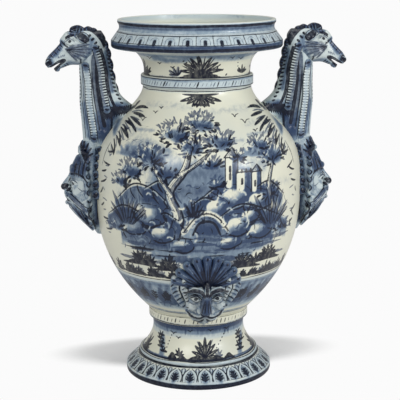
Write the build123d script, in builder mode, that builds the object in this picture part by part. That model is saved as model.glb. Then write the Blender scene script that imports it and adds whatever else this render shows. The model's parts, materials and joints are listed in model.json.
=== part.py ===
from build123d import *
import os
from math import cos, pi, radians, sin, sqrt

os.makedirs("parts", exist_ok=True)

# A two-handled footed jar, standing on z = 0 with its axis on Z.
# Its front is towards -Y and its handles stand on -X and +X. Sizes are in millimetres.

# Heights of the thrown sections, one above the other
foot_edge_height = 10.0
foot_slope_height = 18.0
bead_height = 6.0
stem_height = 50.0
stem_ring_height = 13.0
bowl_height = 188.0
shoulder_height = 142.0
neck_band_height = 15.0
neck_height = 33.0
flange_height = 28.5
lip_height = 16.5

# Outer radii of the thrown sections
foot_radius = 108.0
foot_slope_radius = 88.5
bead_radius = 88.0
stem_foot_radius = 84.5
stem_waist_radius = 67.3
stem_top_radius = 70.0
stem_ring_radius = 73.5
bowl_foot_radius = 72.0
belly_radius = 150.0
shoulder_top_radius = 78.0
neck_band_radius = 81.0
neck_radius = 76.5
neck_flare_radius = 90.0
flange_underside_radius = 117.0
flange_radius = 123.0
flange_top_radius = 113.5
cavetto_radius = 111.0
lip_radius = 113.3

# Shapes of the turned outlines
stem_waist_height = 37.0
stem_flare_power = 1.9
bowl_fullness = 2.55
shoulder_fullness = 1.6
neck_flare_power = 3.0
flange_rise = 4.5
flange_edge_height = 11.0
flange_edge_rounding = 3.2
cavetto_height = 4.5
lip_edge_height = 12.0
lip_edge_rounding = 1.5
foot_edge_rounding = 3.0
ring_rounding = 1.5
outline_points = 9

# Walls, floor and standing ring
foot_ring_width = 14.0
stem_wall = 11.0
bowl_floor = 14.0
belly_wall = 9.0
neck_wall = 8.0
lip_wall = 5.5
stem_ring_depth = 8.5
neck_band_depth = 5.0

# Handles: the outer foot of each horse's neck, out from the belly and down from the neck band
handle_reach = 15.0
handle_seat_drop = 81.0
neck_half_width = 17.0
root_half_width = 12.0
groove_radius = 9.0
groove_depth = 4.5
strap_thickness = 2.0
strap_width = 10.0
poll = (-15.0, 150.0)
head_slope = 32.0
mane_half_width = 6.5
mane_scallop = 2.4
cheek_radius = 13.0
nostril_radius = 3.0
ear_radius = 5.5
ear_hollow_radius = 3.6

# Masks
mask_core_depth = 12.0
front_mask_core_depth = 25.0
nose_knob_radius = 6.6
front_nose_radius = 8.0
brow_radius = 6.0
moustache_radius = 8.0
eye_radius = 3.6
curl_relief = 1.0
shell_root_height = 60.0
shell_rib_length = 44.0
shell_rib_count = 9
shell_spread = 150.0
shell_rib_root = 3.0
shell_rib_rim = 7.0

foot_height = foot_edge_height + foot_slope_height
stem_base = foot_height + bead_height
stem_waist = stem_base + stem_waist_height
stem_top = stem_base + stem_height
bowl_base = stem_top + stem_ring_height
floor_level = stem_top + bowl_floor
equator = bowl_base + bowl_height
shoulder_top = equator + shoulder_height
neck_base = shoulder_top + neck_band_height
flange_base = neck_base + neck_height
lip_base = flange_base + flange_height
jar_height = lip_base + lip_height
lip_inner_radius = lip_radius - lip_wall
handle_seat = shoulder_top - handle_seat_drop
handle_outer = belly_radius + handle_reach


def stem_radius_at(z):
    """Outer radius of the stem: a flare below the waist and a small one above it."""
    if z < stem_waist:
        share = ((stem_waist - z) / stem_waist_height) ** stem_flare_power
        return stem_waist_radius + (stem_foot_radius - stem_waist_radius) * share
    share = ((z - stem_waist) / (stem_top - stem_waist)) ** stem_flare_power
    return stem_waist_radius + (stem_top_radius - stem_waist_radius) * share


def bowl_radius_at(z):
    """Outer radius of the lower body."""
    rise = (z - bowl_base) / bowl_height
    return belly_radius - (belly_radius - bowl_foot_radius) * (1 - rise) ** bowl_fullness


def shoulder_radius_at(z):
    """Outer radius of the upper body, convex over the belly and concave under the neck."""
    rise = (z - equator) / shoulder_height
    share = (1 - cos(pi * rise**shoulder_fullness)) / 2
    return belly_radius - (belly_radius - shoulder_top_radius) * share


def neck_radius_at(z):
    """Outer radius of the neck, flaring to the rim."""
    rise = (z - neck_base) / neck_height
    return neck_radius + (neck_flare_radius - neck_radius) * rise**neck_flare_power


def outline(radius_at, low, high, wall=0.0):
    """Points up a turned outline, set in by a wall measured square to the surface."""
    points = []
    for step in range(outline_points):
        z = low + (high - low) * step / (outline_points - 1)
        above = min(z + 1, high)
        below = max(z - 1, low)
        slope = (radius_at(above) - radius_at(below)) / (above - below)
        points.append((radius_at(z) - wall * sqrt(1 + slope**2), z))
    return points


# Every profile is drawn at the back of the jar, so the seam of each turned face lies there
stem_outline = outline(stem_radius_at, stem_base, stem_top)
stem_inside = outline(stem_radius_at, stem_base, stem_top, stem_wall)
bowl_outline = outline(bowl_radius_at, bowl_base, equator)
bowl_inside = outline(bowl_radius_at, floor_level, equator, belly_wall)
shoulder_outline = outline(shoulder_radius_at, equator, shoulder_top)
shoulder_inside = outline(shoulder_radius_at, equator, shoulder_top, belly_wall)
neck_outline = outline(neck_radius_at, neck_base, flange_base)
neck_inside = outline(neck_radius_at, neck_base, flange_base, neck_wall)

# Foot: a flat standing ring, a rounded edge and the slope that carries the leaf border
with BuildPart() as foot_plinth:
    with BuildSketch(Plane.YZ) as profile:
        with BuildLine():
            Polyline(
                (foot_radius - foot_ring_width, 0),
                (foot_radius, 0),
                (foot_radius, foot_edge_height),
                (foot_slope_radius, foot_height),
                (stem_inside[0][0], foot_height),
                close=True,
            )
        make_face()
        fillet(profile.vertices().group_by(Axis.X)[-1], foot_edge_rounding)
    revolve(axis=Axis.Z)

# Half-round ring between the slope and the stem
with BuildPart() as foot_bead_ring:
    with BuildSketch(Plane.YZ):
        with BuildLine():
            bead_side = bead_radius - bead_height / 2
            Line((stem_inside[0][0], foot_height), (bead_side, foot_height))
            ThreePointArc(
                (bead_side, foot_height),
                (bead_radius, foot_height + bead_height / 2),
                (bead_side, stem_base),
            )
            Line((bead_side, stem_base), (stem_inside[0][0], stem_base))
            Line((stem_inside[0][0], stem_base), (stem_inside[0][0], foot_height))
        make_face()
    revolve(axis=Axis.Z)

with BuildPart() as foot_stem:
    with BuildSketch(Plane.YZ):
        with BuildLine():
            Spline(*stem_outline)
            Line(stem_outline[-1], stem_inside[-1])
            Spline(*stem_inside)
            Line(stem_inside[0], stem_outline[0])
        make_face()
    revolve(axis=Axis.Z)

# Collar over the seam of the stem and the bowl
with BuildPart() as stem_ring:
    with BuildSketch(Plane.YZ) as profile:
        with Locations((stem_ring_radius - stem_ring_depth, stem_top)):
            Rectangle(stem_ring_depth, stem_ring_height, align=(Align.MIN, Align.MIN))
        fillet(profile.vertices().group_by(Axis.X)[-1], ring_rounding)
    revolve(axis=Axis.Z)

# Lower body: it stands in the collar with a boss and holds the floor
with BuildPart() as belly_bowl:
    with BuildSketch(Plane.YZ):
        with BuildLine():
            boss_radius = stem_ring_radius - stem_ring_depth
            Polyline(
                (bowl_inside[0][0], floor_level),
                (0, floor_level),
                (0, stem_top),
                (boss_radius, stem_top),
                (boss_radius, bowl_base),
                bowl_outline[0],
            )
            Spline(*bowl_outline)
            Line(bowl_outline[-1], bowl_inside[-1])
            Spline(*bowl_inside)
        make_face()
    revolve(axis=Axis.Z)

with BuildPart() as belly_shoulder:
    with BuildSketch(Plane.YZ):
        with BuildLine():
            Spline(*shoulder_outline)
            Line(shoulder_outline[-1], shoulder_inside[-1])
            Spline(*shoulder_inside)
            Line(shoulder_inside[0], shoulder_outline[0])
        make_face()
    revolve(axis=Axis.Z)

with BuildPart() as neck_band:
    with BuildSketch(Plane.YZ) as profile:
        with Locations((neck_band_radius - neck_band_depth, shoulder_top)):
            Rectangle(neck_band_depth, neck_band_height, align=(Align.MIN, Align.MIN))
        fillet(profile.vertices().group_by(Axis.X)[-1], ring_rounding)
    revolve(axis=Axis.Z)

# Neck: a collar inside the band, then the flare under the rim
with BuildPart() as jar_neck:
    with BuildSketch(Plane.YZ):
        with BuildLine():
            Polyline(
                neck_inside[0],
                (neck_inside[0][0], shoulder_top),
                (neck_band_radius - neck_band_depth, shoulder_top),
                (neck_band_radius - neck_band_depth, neck_base),
                neck_outline[0],
            )
            Spline(*neck_outline)
            Line(neck_outline[-1], neck_inside[-1])
            Spline(*neck_inside)
        make_face()
    revolve(axis=Axis.Z)

# Flange: a rising underside, a rolled edge and the sloping face of the arcaded border
with BuildPart() as rim_flange:
    with BuildSketch(Plane.YZ) as profile:
        with BuildLine():
            Polyline(
                neck_inside[-1],
                neck_outline[-1],
                (flange_underside_radius, flange_base + flange_rise),
                (flange_radius, flange_base + flange_rise + flange_edge_height / 3),
                (flange_radius, flange_base + flange_rise + flange_edge_height),
                (flange_top_radius, lip_base),
                (lip_inner_radius, lip_base),
            )
            Spline(
                (lip_inner_radius, lip_base),
                neck_inside[-1],
                tangents=((0, -1), (-0.6, -1)),
            )
        make_face()
        fillet(profile.vertices().group_by(Axis.X)[-1], flange_edge_rounding)
    revolve(axis=Axis.Z)

# Lip: a hollow moulding under a rounded edge
with BuildPart() as mouth_lip:
    with BuildSketch(Plane.YZ) as profile:
        with BuildLine():
            Line((lip_inner_radius, lip_base), (flange_top_radius, lip_base))
            ThreePointArc(
                (flange_top_radius, lip_base),
                (cavetto_radius, lip_base + cavetto_height),
                (lip_radius, lip_base + lip_edge_height),
            )
            Polyline(
                (lip_radius, lip_base + lip_edge_height),
                (lip_radius, jar_height),
                (lip_inner_radius, jar_height),
                (lip_inner_radius, lip_base),
            )
        make_face()
        fillet(profile.vertices().group_by(Axis.Y)[-1], lip_edge_rounding)
    revolve(axis=Axis.Z)

# The jar's filled outer form, which every applied piece is fitted against
with BuildPart() as jar_form:
    with BuildSketch(Plane.YZ) as profile:
        with BuildLine():
            Spline(*bowl_outline)
            Spline(*shoulder_outline)
            Polyline(
                shoulder_outline[-1],
                (neck_band_radius, shoulder_top),
                (neck_band_radius, neck_base),
                (0, neck_base),
                (0, stem_top),
                (stem_ring_radius, stem_top),
                (stem_ring_radius, bowl_base),
                bowl_outline[0],
            )
        make_face()
        corners = profile.vertices().filter_by(lambda corner: corner.X in (neck_band_radius, stem_ring_radius))
        fillet(corners, ring_rounding)
    revolve(axis=Axis.Z)


def lobe(start, end, radius):
    """An egg-like lobe lying between two points."""
    start = Vector(*start)
    end = Vector(*end)
    middle = (start + end) / 2
    span = end - start
    with BuildPart(mode=Mode.PRIVATE) as form:
        with BuildSketch(Plane(origin=middle, x_dir=span, z_dir=square_to(span))):
            with BuildLine():
                EllipticalCenterArc((0, 0), span.length / 2, radius, arc_size=180)
                Line((span.length / 2, 0), (-span.length / 2, 0))
            make_face()
        revolve(axis=Axis(middle, span))
    return form.part


def rib(start, end, root, rim):
    """A round-ended rib that widens from its root to its rim."""
    start = Vector(*start)
    span = Vector(*end) - start
    with BuildPart(mode=Mode.PRIVATE) as form:
        with BuildSketch(Plane(origin=start, x_dir=span, z_dir=square_to(span))):
            with BuildLine():
                Polyline((span.length + rim, 0), (0, 0), (0, root), (span.length, rim))
                CenterArc((span.length, 0), rim, 0, 90)
            make_face()
        revolve(axis=Axis(start, span))
    return form.part


def square_to(span):
    """A direction square to a span."""
    side = span.cross(Vector(0, 0, 1))
    return side if side.length > 0.001 else Vector(0, 1, 0)


def handle_point(out, up, side=0.0):
    """A point measured from the outer foot of the right-hand neck."""
    return (handle_outer + out, side, handle_seat + up)


def lofted(base, stations, growth=0.0):
    """A loft through ovals stacked along a plane's normal: place, low edge, high edge, half-width."""
    with BuildPart(mode=Mode.PRIVATE) as form:
        for place, low, high, half_width in stations:
            with BuildSketch(base.offset(place)):
                with Locations(((low + high) / 2, 0)):
                    Ellipse((high - low) / 2 + growth, half_width + growth)
        loft()
    return form.part


# The handles' datum is the outer foot of the neck; the head's axis slopes down from the poll
neck_plane = Plane(origin=handle_point(0, 0))
head_plane = Plane(
    origin=handle_point(*poll),
    x_dir=(sin(radians(head_slope)), 0, cos(radians(head_slope))),
    z_dir=(cos(radians(head_slope)), 0, -sin(radians(head_slope))),
)

# Cross-sections up the neck: height, inner edge, outer edge, half-width
neck_stations = [
    (0, -58, 0, neck_half_width - 1),
    (30, -54, 2, neck_half_width),
    (60, -50, 4, neck_half_width),
    (86, -45.5, 3.2, neck_half_width),
    (106, -43, 3.4, neck_half_width),
    (124, -39, 3.4, neck_half_width),
    (138, -34, 0, neck_half_width - 1),
]

# Cross-sections of the flare that runs from the back of the neck onto the shoulder
root_stations = [
    (30, -88, -20, root_half_width),
    (44, -78, -20, root_half_width),
    (53, -66, -20, root_half_width),
    (62, -56, -20, root_half_width),
    (72, -50, -20, root_half_width),
    (84, -45, -20, root_half_width),
]

# Cross-sections along the head: distance from the poll, jaw, forehead, half-width
head_stations = [
    (-12, -20, 2, 10.5),
    (0, -30, 12, 17),
    (12, -32, 19.5, 19),
    (24, -31, 21.5, 19.5),
    (36, -25, 19, 18),
    (48, -17, 15.3, 14),
    (58, -16.2, 13, 11.5),
    (67, -15.5, 10.5, 10.5),
    (76, -5.5, 5.5, 5),
]

# Lines in the handle's side view, measured from its datum
outer_strap_line = [(-6, 108), (-8.6, 86), (-9, 65), (-11.5, 43), (-15, 18), (-15.5, 5)]
inner_strap_line = [(-20, 134), (-27, 102), (-28.4, 86), (-31.2, 68), (-35.3, 42)]
groove_line = [(-17.2, 120), (-24, 28)]
mouth_line = [(27, 116), (45, 106), (43, 99), (38, 100)]
crest_line = [
    (17, 157),
    (10, 166),
    (-5, 163),
    (-16, 163),
    (-25, 156.5),
    (-34, 146.5),
    (-39.5, 134),
    (-43, 119),
    (-45.5, 102),
    (-48.5, 85),
    (-53, 68),
]
crest_root = [(-40, 70), (-30, 100), (-26, 130), (-10, 145), (10, 150)]

grown_neck = lofted(neck_plane, neck_stations, strap_thickness)

# Neck of the horse: a lofted stem flaring into the shoulder, with a deep groove down each side
groove_side = neck_half_width + groove_radius - groove_depth
with BuildPart() as right_handle_neck:
    add(lofted(neck_plane, neck_stations))
    add(lofted(neck_plane, root_stations))
    for side in (-groove_side, groove_side):
        top, foot = (handle_point(out, up, side) for out, up in groove_line)
        add(lobe(top, foot, groove_radius), mode=Mode.SUBTRACT)
    add(jar_form.part, mode=Mode.SUBTRACT)

# Head: tapering to the muzzle, with round cheeks, brows over the eyes, an open mouth and nostrils
with BuildPart() as right_horse_head:
    add(lofted(head_plane, head_stations))
    for side in (-1, 1):
        add(lobe(handle_point(-4, 128, 11 * side), handle_point(24, 126, 8 * side), cheek_radius))
        add(lobe(handle_point(8, 152, 14 * side), handle_point(27, 145, 9 * side), brow_radius))
        add(lobe(handle_point(10, 146, 16.5 * side), handle_point(19, 144, 14.5 * side), eye_radius))
        add(
            lobe(handle_point(43, 113, 10 * side), handle_point(51, 112, 7.5 * side), nostril_radius),
            mode=Mode.SUBTRACT,
        )
    with BuildSketch(Plane.XZ):
        with BuildLine():
            Polyline(*[(handle_outer + out, handle_seat + up) for out, up in mouth_line], close=True)
        make_face()
    extrude(amount=neck_half_width, both=True, mode=Mode.SUBTRACT)
    add(right_handle_neck.part, mode=Mode.SUBTRACT)

# Mane: a scalloped crest with the forelock in front of the ears
with BuildPart() as right_mane:
    with BuildSketch(Plane.XZ):
        with BuildLine():
            crest = [(handle_outer + out, handle_seat + up) for out, up in crest_line]
            root = [(handle_outer + out, handle_seat + up) for out, up in crest_root]
            for start, end in zip(crest[:-1], crest[1:]):
                SagittaArc(start, end, -mane_scallop)
            Polyline(crest[-1], *root, crest[0])
        make_face()
    extrude(amount=mane_half_width, both=True)
    for neighbour in (right_handle_neck, right_horse_head, jar_form):
        add(neighbour.part, mode=Mode.SUBTRACT)

# Ears: short hollow leaves laid back against the crest
with BuildPart() as right_ears:
    for side in (-1, 1):
        add(lobe(handle_point(-13, 141, 15 * side), handle_point(4, 160, 12 * side), ear_radius))
        add(
            lobe(handle_point(-11, 142, 20.5 * side), handle_point(5, 158, 17.5 * side), ear_hollow_radius),
            mode=Mode.SUBTRACT,
        )
    for neighbour in (right_handle_neck, right_horse_head, right_mane):
        add(neighbour.part, mode=Mode.SUBTRACT)

# Beaded straps: two on each side of the neck, following its surface
with BuildPart() as right_neck_straps:
    for strap_line in (outer_strap_line, inner_strap_line):
        with BuildSketch(Plane.XZ):
            with BuildLine():
                Spline(*[(handle_outer + out, handle_seat + up) for out, up in strap_line])
            trace(line_width=strap_width)
    extrude(amount=2 * neck_half_width, both=True)
    add(grown_neck, mode=Mode.INTERSECT)
    for neighbour in (jar_form, right_handle_neck, right_horse_head, right_mane):
        add(neighbour.part, mode=Mode.SUBTRACT)

# Cross-sections down the side mask: height, core, face, half-width
mask_core = -handle_reach - mask_core_depth
mask_stations = [
    (-137.5, mask_core, -16, 6),
    (-128, mask_core, -8, 13),
    (-114, mask_core, 4, 21),
    (-100, mask_core, 17, 28),
    (-84, mask_core, 24, 33),
    (-68, mask_core, 24, 35),
    (-52, mask_core, 17, 35),
    (-38, mask_core, 13, 33),
    (-24, mask_core, 6, 29),
    (-10, mask_core, 3, 23),
    (0, mask_core, 0, 18),
]

# Side mask: a lion's face with a knob nose, heavy brows, a swept moustache and a pointed beard
with BuildPart() as right_side_mask:
    add(lofted(neck_plane, mask_stations))
    add(lobe(handle_point(21, -65), handle_point(34.5, -65), nose_knob_radius))
    add(lobe(handle_point(-2, -24), handle_point(5.5, -3), brow_radius))
    add(lobe(handle_point(26, -84), handle_point(10, -104), brow_radius + 1))
    for side in (-1, 1):
        add(lobe(handle_point(19, -44, 3 * side), handle_point(0, -40, 27 * side), brow_radius))
        add(lobe(handle_point(9, -56, 17 * side), handle_point(15, -58, 15 * side), eye_radius))
        add(lobe(handle_point(24, -73, 5 * side), handle_point(-12, -86, 35 * side), moustache_radius))
        add(lobe(handle_point(22, -82, 6 * side), handle_point(-6, -108, 24 * side), brow_radius))
    for neighbour in (right_handle_neck, jar_form):
        add(neighbour.part, mode=Mode.SUBTRACT)

# Curls down the rear edge of the mask: height, distance to the side, radius
curl_places = [
    (-8, 23, 4.4),
    (-19, 27, 4.4),
    (-30, 30.5, 4.8),
    (-43, 33, 6),
    (-57, 34.5, 7),
    (-72, 34, 7.5),
]


def curl(out, aside, z, radius):
    """A round curl cut to the body, the neck and the mask that it lies against."""
    with BuildPart(mode=Mode.PRIVATE) as form:
        with Locations((out, aside, z)):
            Sphere(radius)
        for neighbour in (belly_bowl, belly_shoulder, right_handle_neck, right_side_mask):
            add(neighbour.part, mode=Mode.SUBTRACT)
    return form.part


with BuildPart() as right_mask_curls:
    for up, aside, radius in curl_places:
        z = handle_seat + up
        surface = shoulder_radius_at(z) if z > equator else bowl_radius_at(z)
        out = sqrt(surface**2 - aside**2) + curl_relief
        for side in (-aside, aside):
            add(curl(out, side, z, radius))

# Cross-sections up the front mask: height, relief from the bowl, half-width
front_stations = [
    (-5, 14.5, 9),
    (2, 22, 16),
    (11, 26, 23),
    (23, 27, 28),
    (37, 23.5, 32),
    (51, 22, 34),
    (63, 17, 33),
    (73, 12, 28),
]


def front_point(aside, up, relief):
    """A point on the front, out from the bowl's surface at its own height."""
    z = bowl_base + up
    surface = bowl_radius_at(z) if up > 0 else stem_ring_radius
    return (aside, -sqrt(surface**2 - aside**2) - relief, z)


front_plane = Plane(origin=(0, 0, bowl_base), x_dir=(0, -1, 0), z_dir=(0, 0, 1))
front_ovals = []
for up, relief, half_width in front_stations:
    face = -front_point(0, up, relief)[1]
    front_ovals.append((up, stem_waist_radius - front_mask_core_depth, face, half_width))

# Front mask: a grotesque with a broad nose, brows, a moustache and scrolled leaves at its sides
with BuildPart() as front_mask:
    add(lofted(front_plane, front_ovals))
    add(lobe(front_point(0, 44, 20), front_point(0, 6, 27), front_nose_radius))
    for side in (-1, 1):
        add(lobe(front_point(3 * side, 52, 20), front_point(29 * side, 58, 10), brow_radius))
        add(lobe(front_point(11 * side, 40, 19), front_point(18 * side, 41, 17), eye_radius))
        add(lobe(front_point(1 * side, 6, 22), front_point(24 * side, 2, 9), brow_radius))
        add(lobe(front_point(24 * side, 14, 2), front_point(41 * side, 50, 3), moustache_radius))
        add(lobe(front_point(36 * side, 40, 2), front_point(46 * side, 74, 2), brow_radius))
    for neighbour in (stem_ring, belly_bowl, jar_form):
        add(neighbour.part, mode=Mode.SUBTRACT)

# Shell: ribs spread like a fan from the forehead, their round ends making the scalloped rim
with BuildPart() as front_shell:
    root = front_point(0, shell_root_height, 8)
    for step in range(shell_rib_count):
        angle = radians(shell_spread * (step / (shell_rib_count - 1) - 0.5))
        aside = shell_rib_length * sin(angle)
        up = shell_root_height + shell_rib_length * cos(angle)
        add(rib(root, front_point(aside, up, 1), shell_rib_root, shell_rib_rim))
    for neighbour in (front_mask, jar_form):
        add(neighbour.part, mode=Mode.SUBTRACT)

with BuildPart() as left_handle_neck:
    mirror(right_handle_neck.part, about=Plane.YZ)

with BuildPart() as left_horse_head:
    mirror(right_horse_head.part, about=Plane.YZ)

with BuildPart() as left_mane:
    mirror(right_mane.part, about=Plane.YZ)

with BuildPart() as left_ears:
    mirror(right_ears.part, about=Plane.YZ)

with BuildPart() as left_neck_straps:
    mirror(right_neck_straps.part, about=Plane.YZ)

with BuildPart() as left_side_mask:
    mirror(right_side_mask.part, about=Plane.YZ)

with BuildPart() as left_mask_curls:
    mirror(right_mask_curls.part, about=Plane.YZ)

pieces = {
    "foot_plinth": foot_plinth,
    "foot_bead_ring": foot_bead_ring,
    "foot_stem": foot_stem,
    "stem_ring": stem_ring,
    "belly_bowl": belly_bowl,
    "belly_shoulder": belly_shoulder,
    "neck_band": neck_band,
    "jar_neck": jar_neck,
    "rim_flange": rim_flange,
    "mouth_lip": mouth_lip,
    "left_handle_neck": left_handle_neck,
    "right_handle_neck": right_handle_neck,
    "left_horse_head": left_horse_head,
    "right_horse_head": right_horse_head,
    "left_mane": left_mane,
    "right_mane": right_mane,
    "left_ears": left_ears,
    "right_ears": right_ears,
    "left_neck_straps": left_neck_straps,
    "right_neck_straps": right_neck_straps,
    "left_side_mask": left_side_mask,
    "right_side_mask": right_side_mask,
    "left_mask_curls": left_mask_curls,
    "right_mask_curls": right_mask_curls,
    "front_mask": front_mask,
    "front_shell": front_shell,
}
for name, piece in pieces.items():
    piece.part.label = name
    export_step(piece.part, f"parts/{name}.step")
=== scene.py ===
import json
import math

import bpy
import numpy as np
from mathutils import Matrix, Vector

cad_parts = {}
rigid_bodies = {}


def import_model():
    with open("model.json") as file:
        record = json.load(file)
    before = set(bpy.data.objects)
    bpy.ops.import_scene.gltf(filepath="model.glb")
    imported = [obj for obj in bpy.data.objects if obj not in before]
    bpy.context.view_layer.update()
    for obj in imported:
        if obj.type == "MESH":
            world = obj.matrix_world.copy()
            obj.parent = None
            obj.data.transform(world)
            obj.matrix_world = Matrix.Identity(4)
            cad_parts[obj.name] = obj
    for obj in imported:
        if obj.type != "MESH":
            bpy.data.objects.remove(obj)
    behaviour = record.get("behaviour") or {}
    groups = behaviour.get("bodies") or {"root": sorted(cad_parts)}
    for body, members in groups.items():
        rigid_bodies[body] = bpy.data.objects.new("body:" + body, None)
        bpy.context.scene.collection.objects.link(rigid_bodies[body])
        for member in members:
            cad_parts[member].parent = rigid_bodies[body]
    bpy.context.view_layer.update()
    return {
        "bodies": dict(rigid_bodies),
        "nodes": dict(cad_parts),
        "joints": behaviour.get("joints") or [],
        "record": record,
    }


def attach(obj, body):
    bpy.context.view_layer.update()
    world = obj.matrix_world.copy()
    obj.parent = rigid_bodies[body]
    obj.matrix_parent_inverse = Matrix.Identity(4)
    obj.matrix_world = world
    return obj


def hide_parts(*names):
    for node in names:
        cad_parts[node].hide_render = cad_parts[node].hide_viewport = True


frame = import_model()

# The jar is worked out in millimetres and turned into metres when a mesh is made. Floor, lamps and camera
# are in metres. Angles round the jar run from its front (-Y) towards +X.
METRE = 0.001
# How far the photograph is taken from the left of the jar's front.
TURN = math.radians(5.2)
# How far the turned surfaces lie inside their solids, at least.
SKIN = 0.12
# The layers of paint that a piece has on its points, for the glaze to read.
LAYERS = ("tone", "mid", "dark", "cool")
rng = np.random.default_rng(11)

# Levels where the turned pieces meet, and the stem's waist.
FOOT_TOP = 28
STEM_LOW = 34
STEM_WAIST = 71
STEM_TOP = 84
BOWL_LOW = 97
SEAM = 285
SHOULDER_TOP = 427
NECK_LOW = 442
NECK_TOP = 475
FLANGE_TOP = 503.5
# Radii, and the thickness of the walls.
BELLY = 150
COLLAR = 73.5
STEM_WALL = 11.0
BELLY_WALL = 9.0
NECK_WALL = 8.0


# Outlines of the turned body: the radius at a height, and lines of (radius, height) points.


def bowl_radius(z):
    rise = np.clip((z - BOWL_LOW) / (SEAM - BOWL_LOW), 0, 1)
    return BELLY - 78 * (1 - rise) ** 2.55


def shoulder_radius(z):
    rise = np.clip((z - SEAM) / (SHOULDER_TOP - SEAM), 0, 1)
    return BELLY - 36 * (1 - np.cos(np.pi * rise**1.6))


def stem_radius(z):
    low_share = np.clip((STEM_WAIST - z) / (STEM_WAIST - STEM_LOW), 0, 1) ** 1.9
    high_share = np.clip((z - STEM_WAIST) / (STEM_TOP - STEM_WAIST), 0, 1) ** 1.9
    return 67.3 + 17.2 * low_share + 2.7 * high_share


def neck_radius(z):
    rise = np.clip((z - NECK_LOW) / (NECK_TOP - NECK_LOW), 0, 1)
    return 76.5 + 13.5 * rise**3


def body_radius(z):
    """Radius of the belly at a height, for the pieces that lie on it."""
    z = np.asarray(z, float)
    return np.where(z < BOWL_LOW, COLLAR, np.where(z < SEAM, bowl_radius(z), shoulder_radius(z)))


def surface(z, aside):
    """How far out the belly's surface lies at a height, beside the middle plane by so much."""
    return math.sqrt(float(body_radius(z)) ** 2 - aside**2)


def lengths(line):
    """Length along a line at each of its points."""
    return np.concatenate([[0], np.cumsum(np.hypot(*np.diff(line, axis=0).T))])


def sides(line):
    """Unit vectors to the right of a line, at each of its points."""
    heading = np.gradient(line, axis=0)
    return np.stack([heading[:, 1], -heading[:, 0]], 1) / np.hypot(*heading.T)[:, None]


def at(place, run, values):
    """A line's points, or its sides, at a length along it."""
    return np.array([np.interp(place, run, values[:, k]) for k in (0, 1)])


def walk(points, step):
    """Points at an even step along a line of (radius, height) points."""
    points = np.asarray(points, float)
    length = lengths(points)
    places = np.linspace(0, length[-1], max(2, int(length[-1] / step) + 1))
    return np.stack([np.interp(places, length, points[:, k]) for k in (0, 1)], 1)


def curve_of(radius, start, end, inset=0.0):
    """An outline between two heights, set in by a wall thickness."""
    z = np.linspace(start, end, 80)
    r = radius(z)
    slope = np.gradient(r, z)
    return np.stack([r - inset * np.sqrt(1 + slope**2), z], 1)


def arc(centre, radius, start, end, count=7):
    """Points on an arc, angles in degrees from the +radius direction."""
    a = np.radians(np.linspace(start, end, count))
    return np.stack([centre[0] + radius * np.cos(a), centre[1] + radius * np.sin(a)], 1)


def join(*lines):
    """Lines end to end, without repeated points."""
    points = np.concatenate([np.asarray(line, float).reshape(-1, 2) for line in lines])
    keep = np.concatenate([[True], np.hypot(*np.diff(points, axis=0).T) > 0.05])
    return points[keep]


def columns(radius, fine, coarse, reach=82):
    """Angles round the jar, close together over the front and wider apart behind."""
    reach = math.radians(reach)
    front_count = int(2 * reach * radius / fine)
    back_count = int(2 * (math.pi - reach) * radius / coarse)
    front = np.linspace(-reach, reach, front_count, endpoint=False)
    back = np.linspace(reach, 2 * math.pi - reach, back_count, endpoint=False)
    return np.concatenate([front, back])


# Paint, and the brush that lays it on the points of a piece.


class Paint:
    """Paint at the points of one piece: soft tone, mid-blue strokes, dark strokes and cool glaze."""

    def __init__(self, count):
        self.tone = np.zeros(count)
        self.mid = np.zeros(count)
        self.dark = np.zeros(count)
        self.cool = np.zeros(count)


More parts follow.
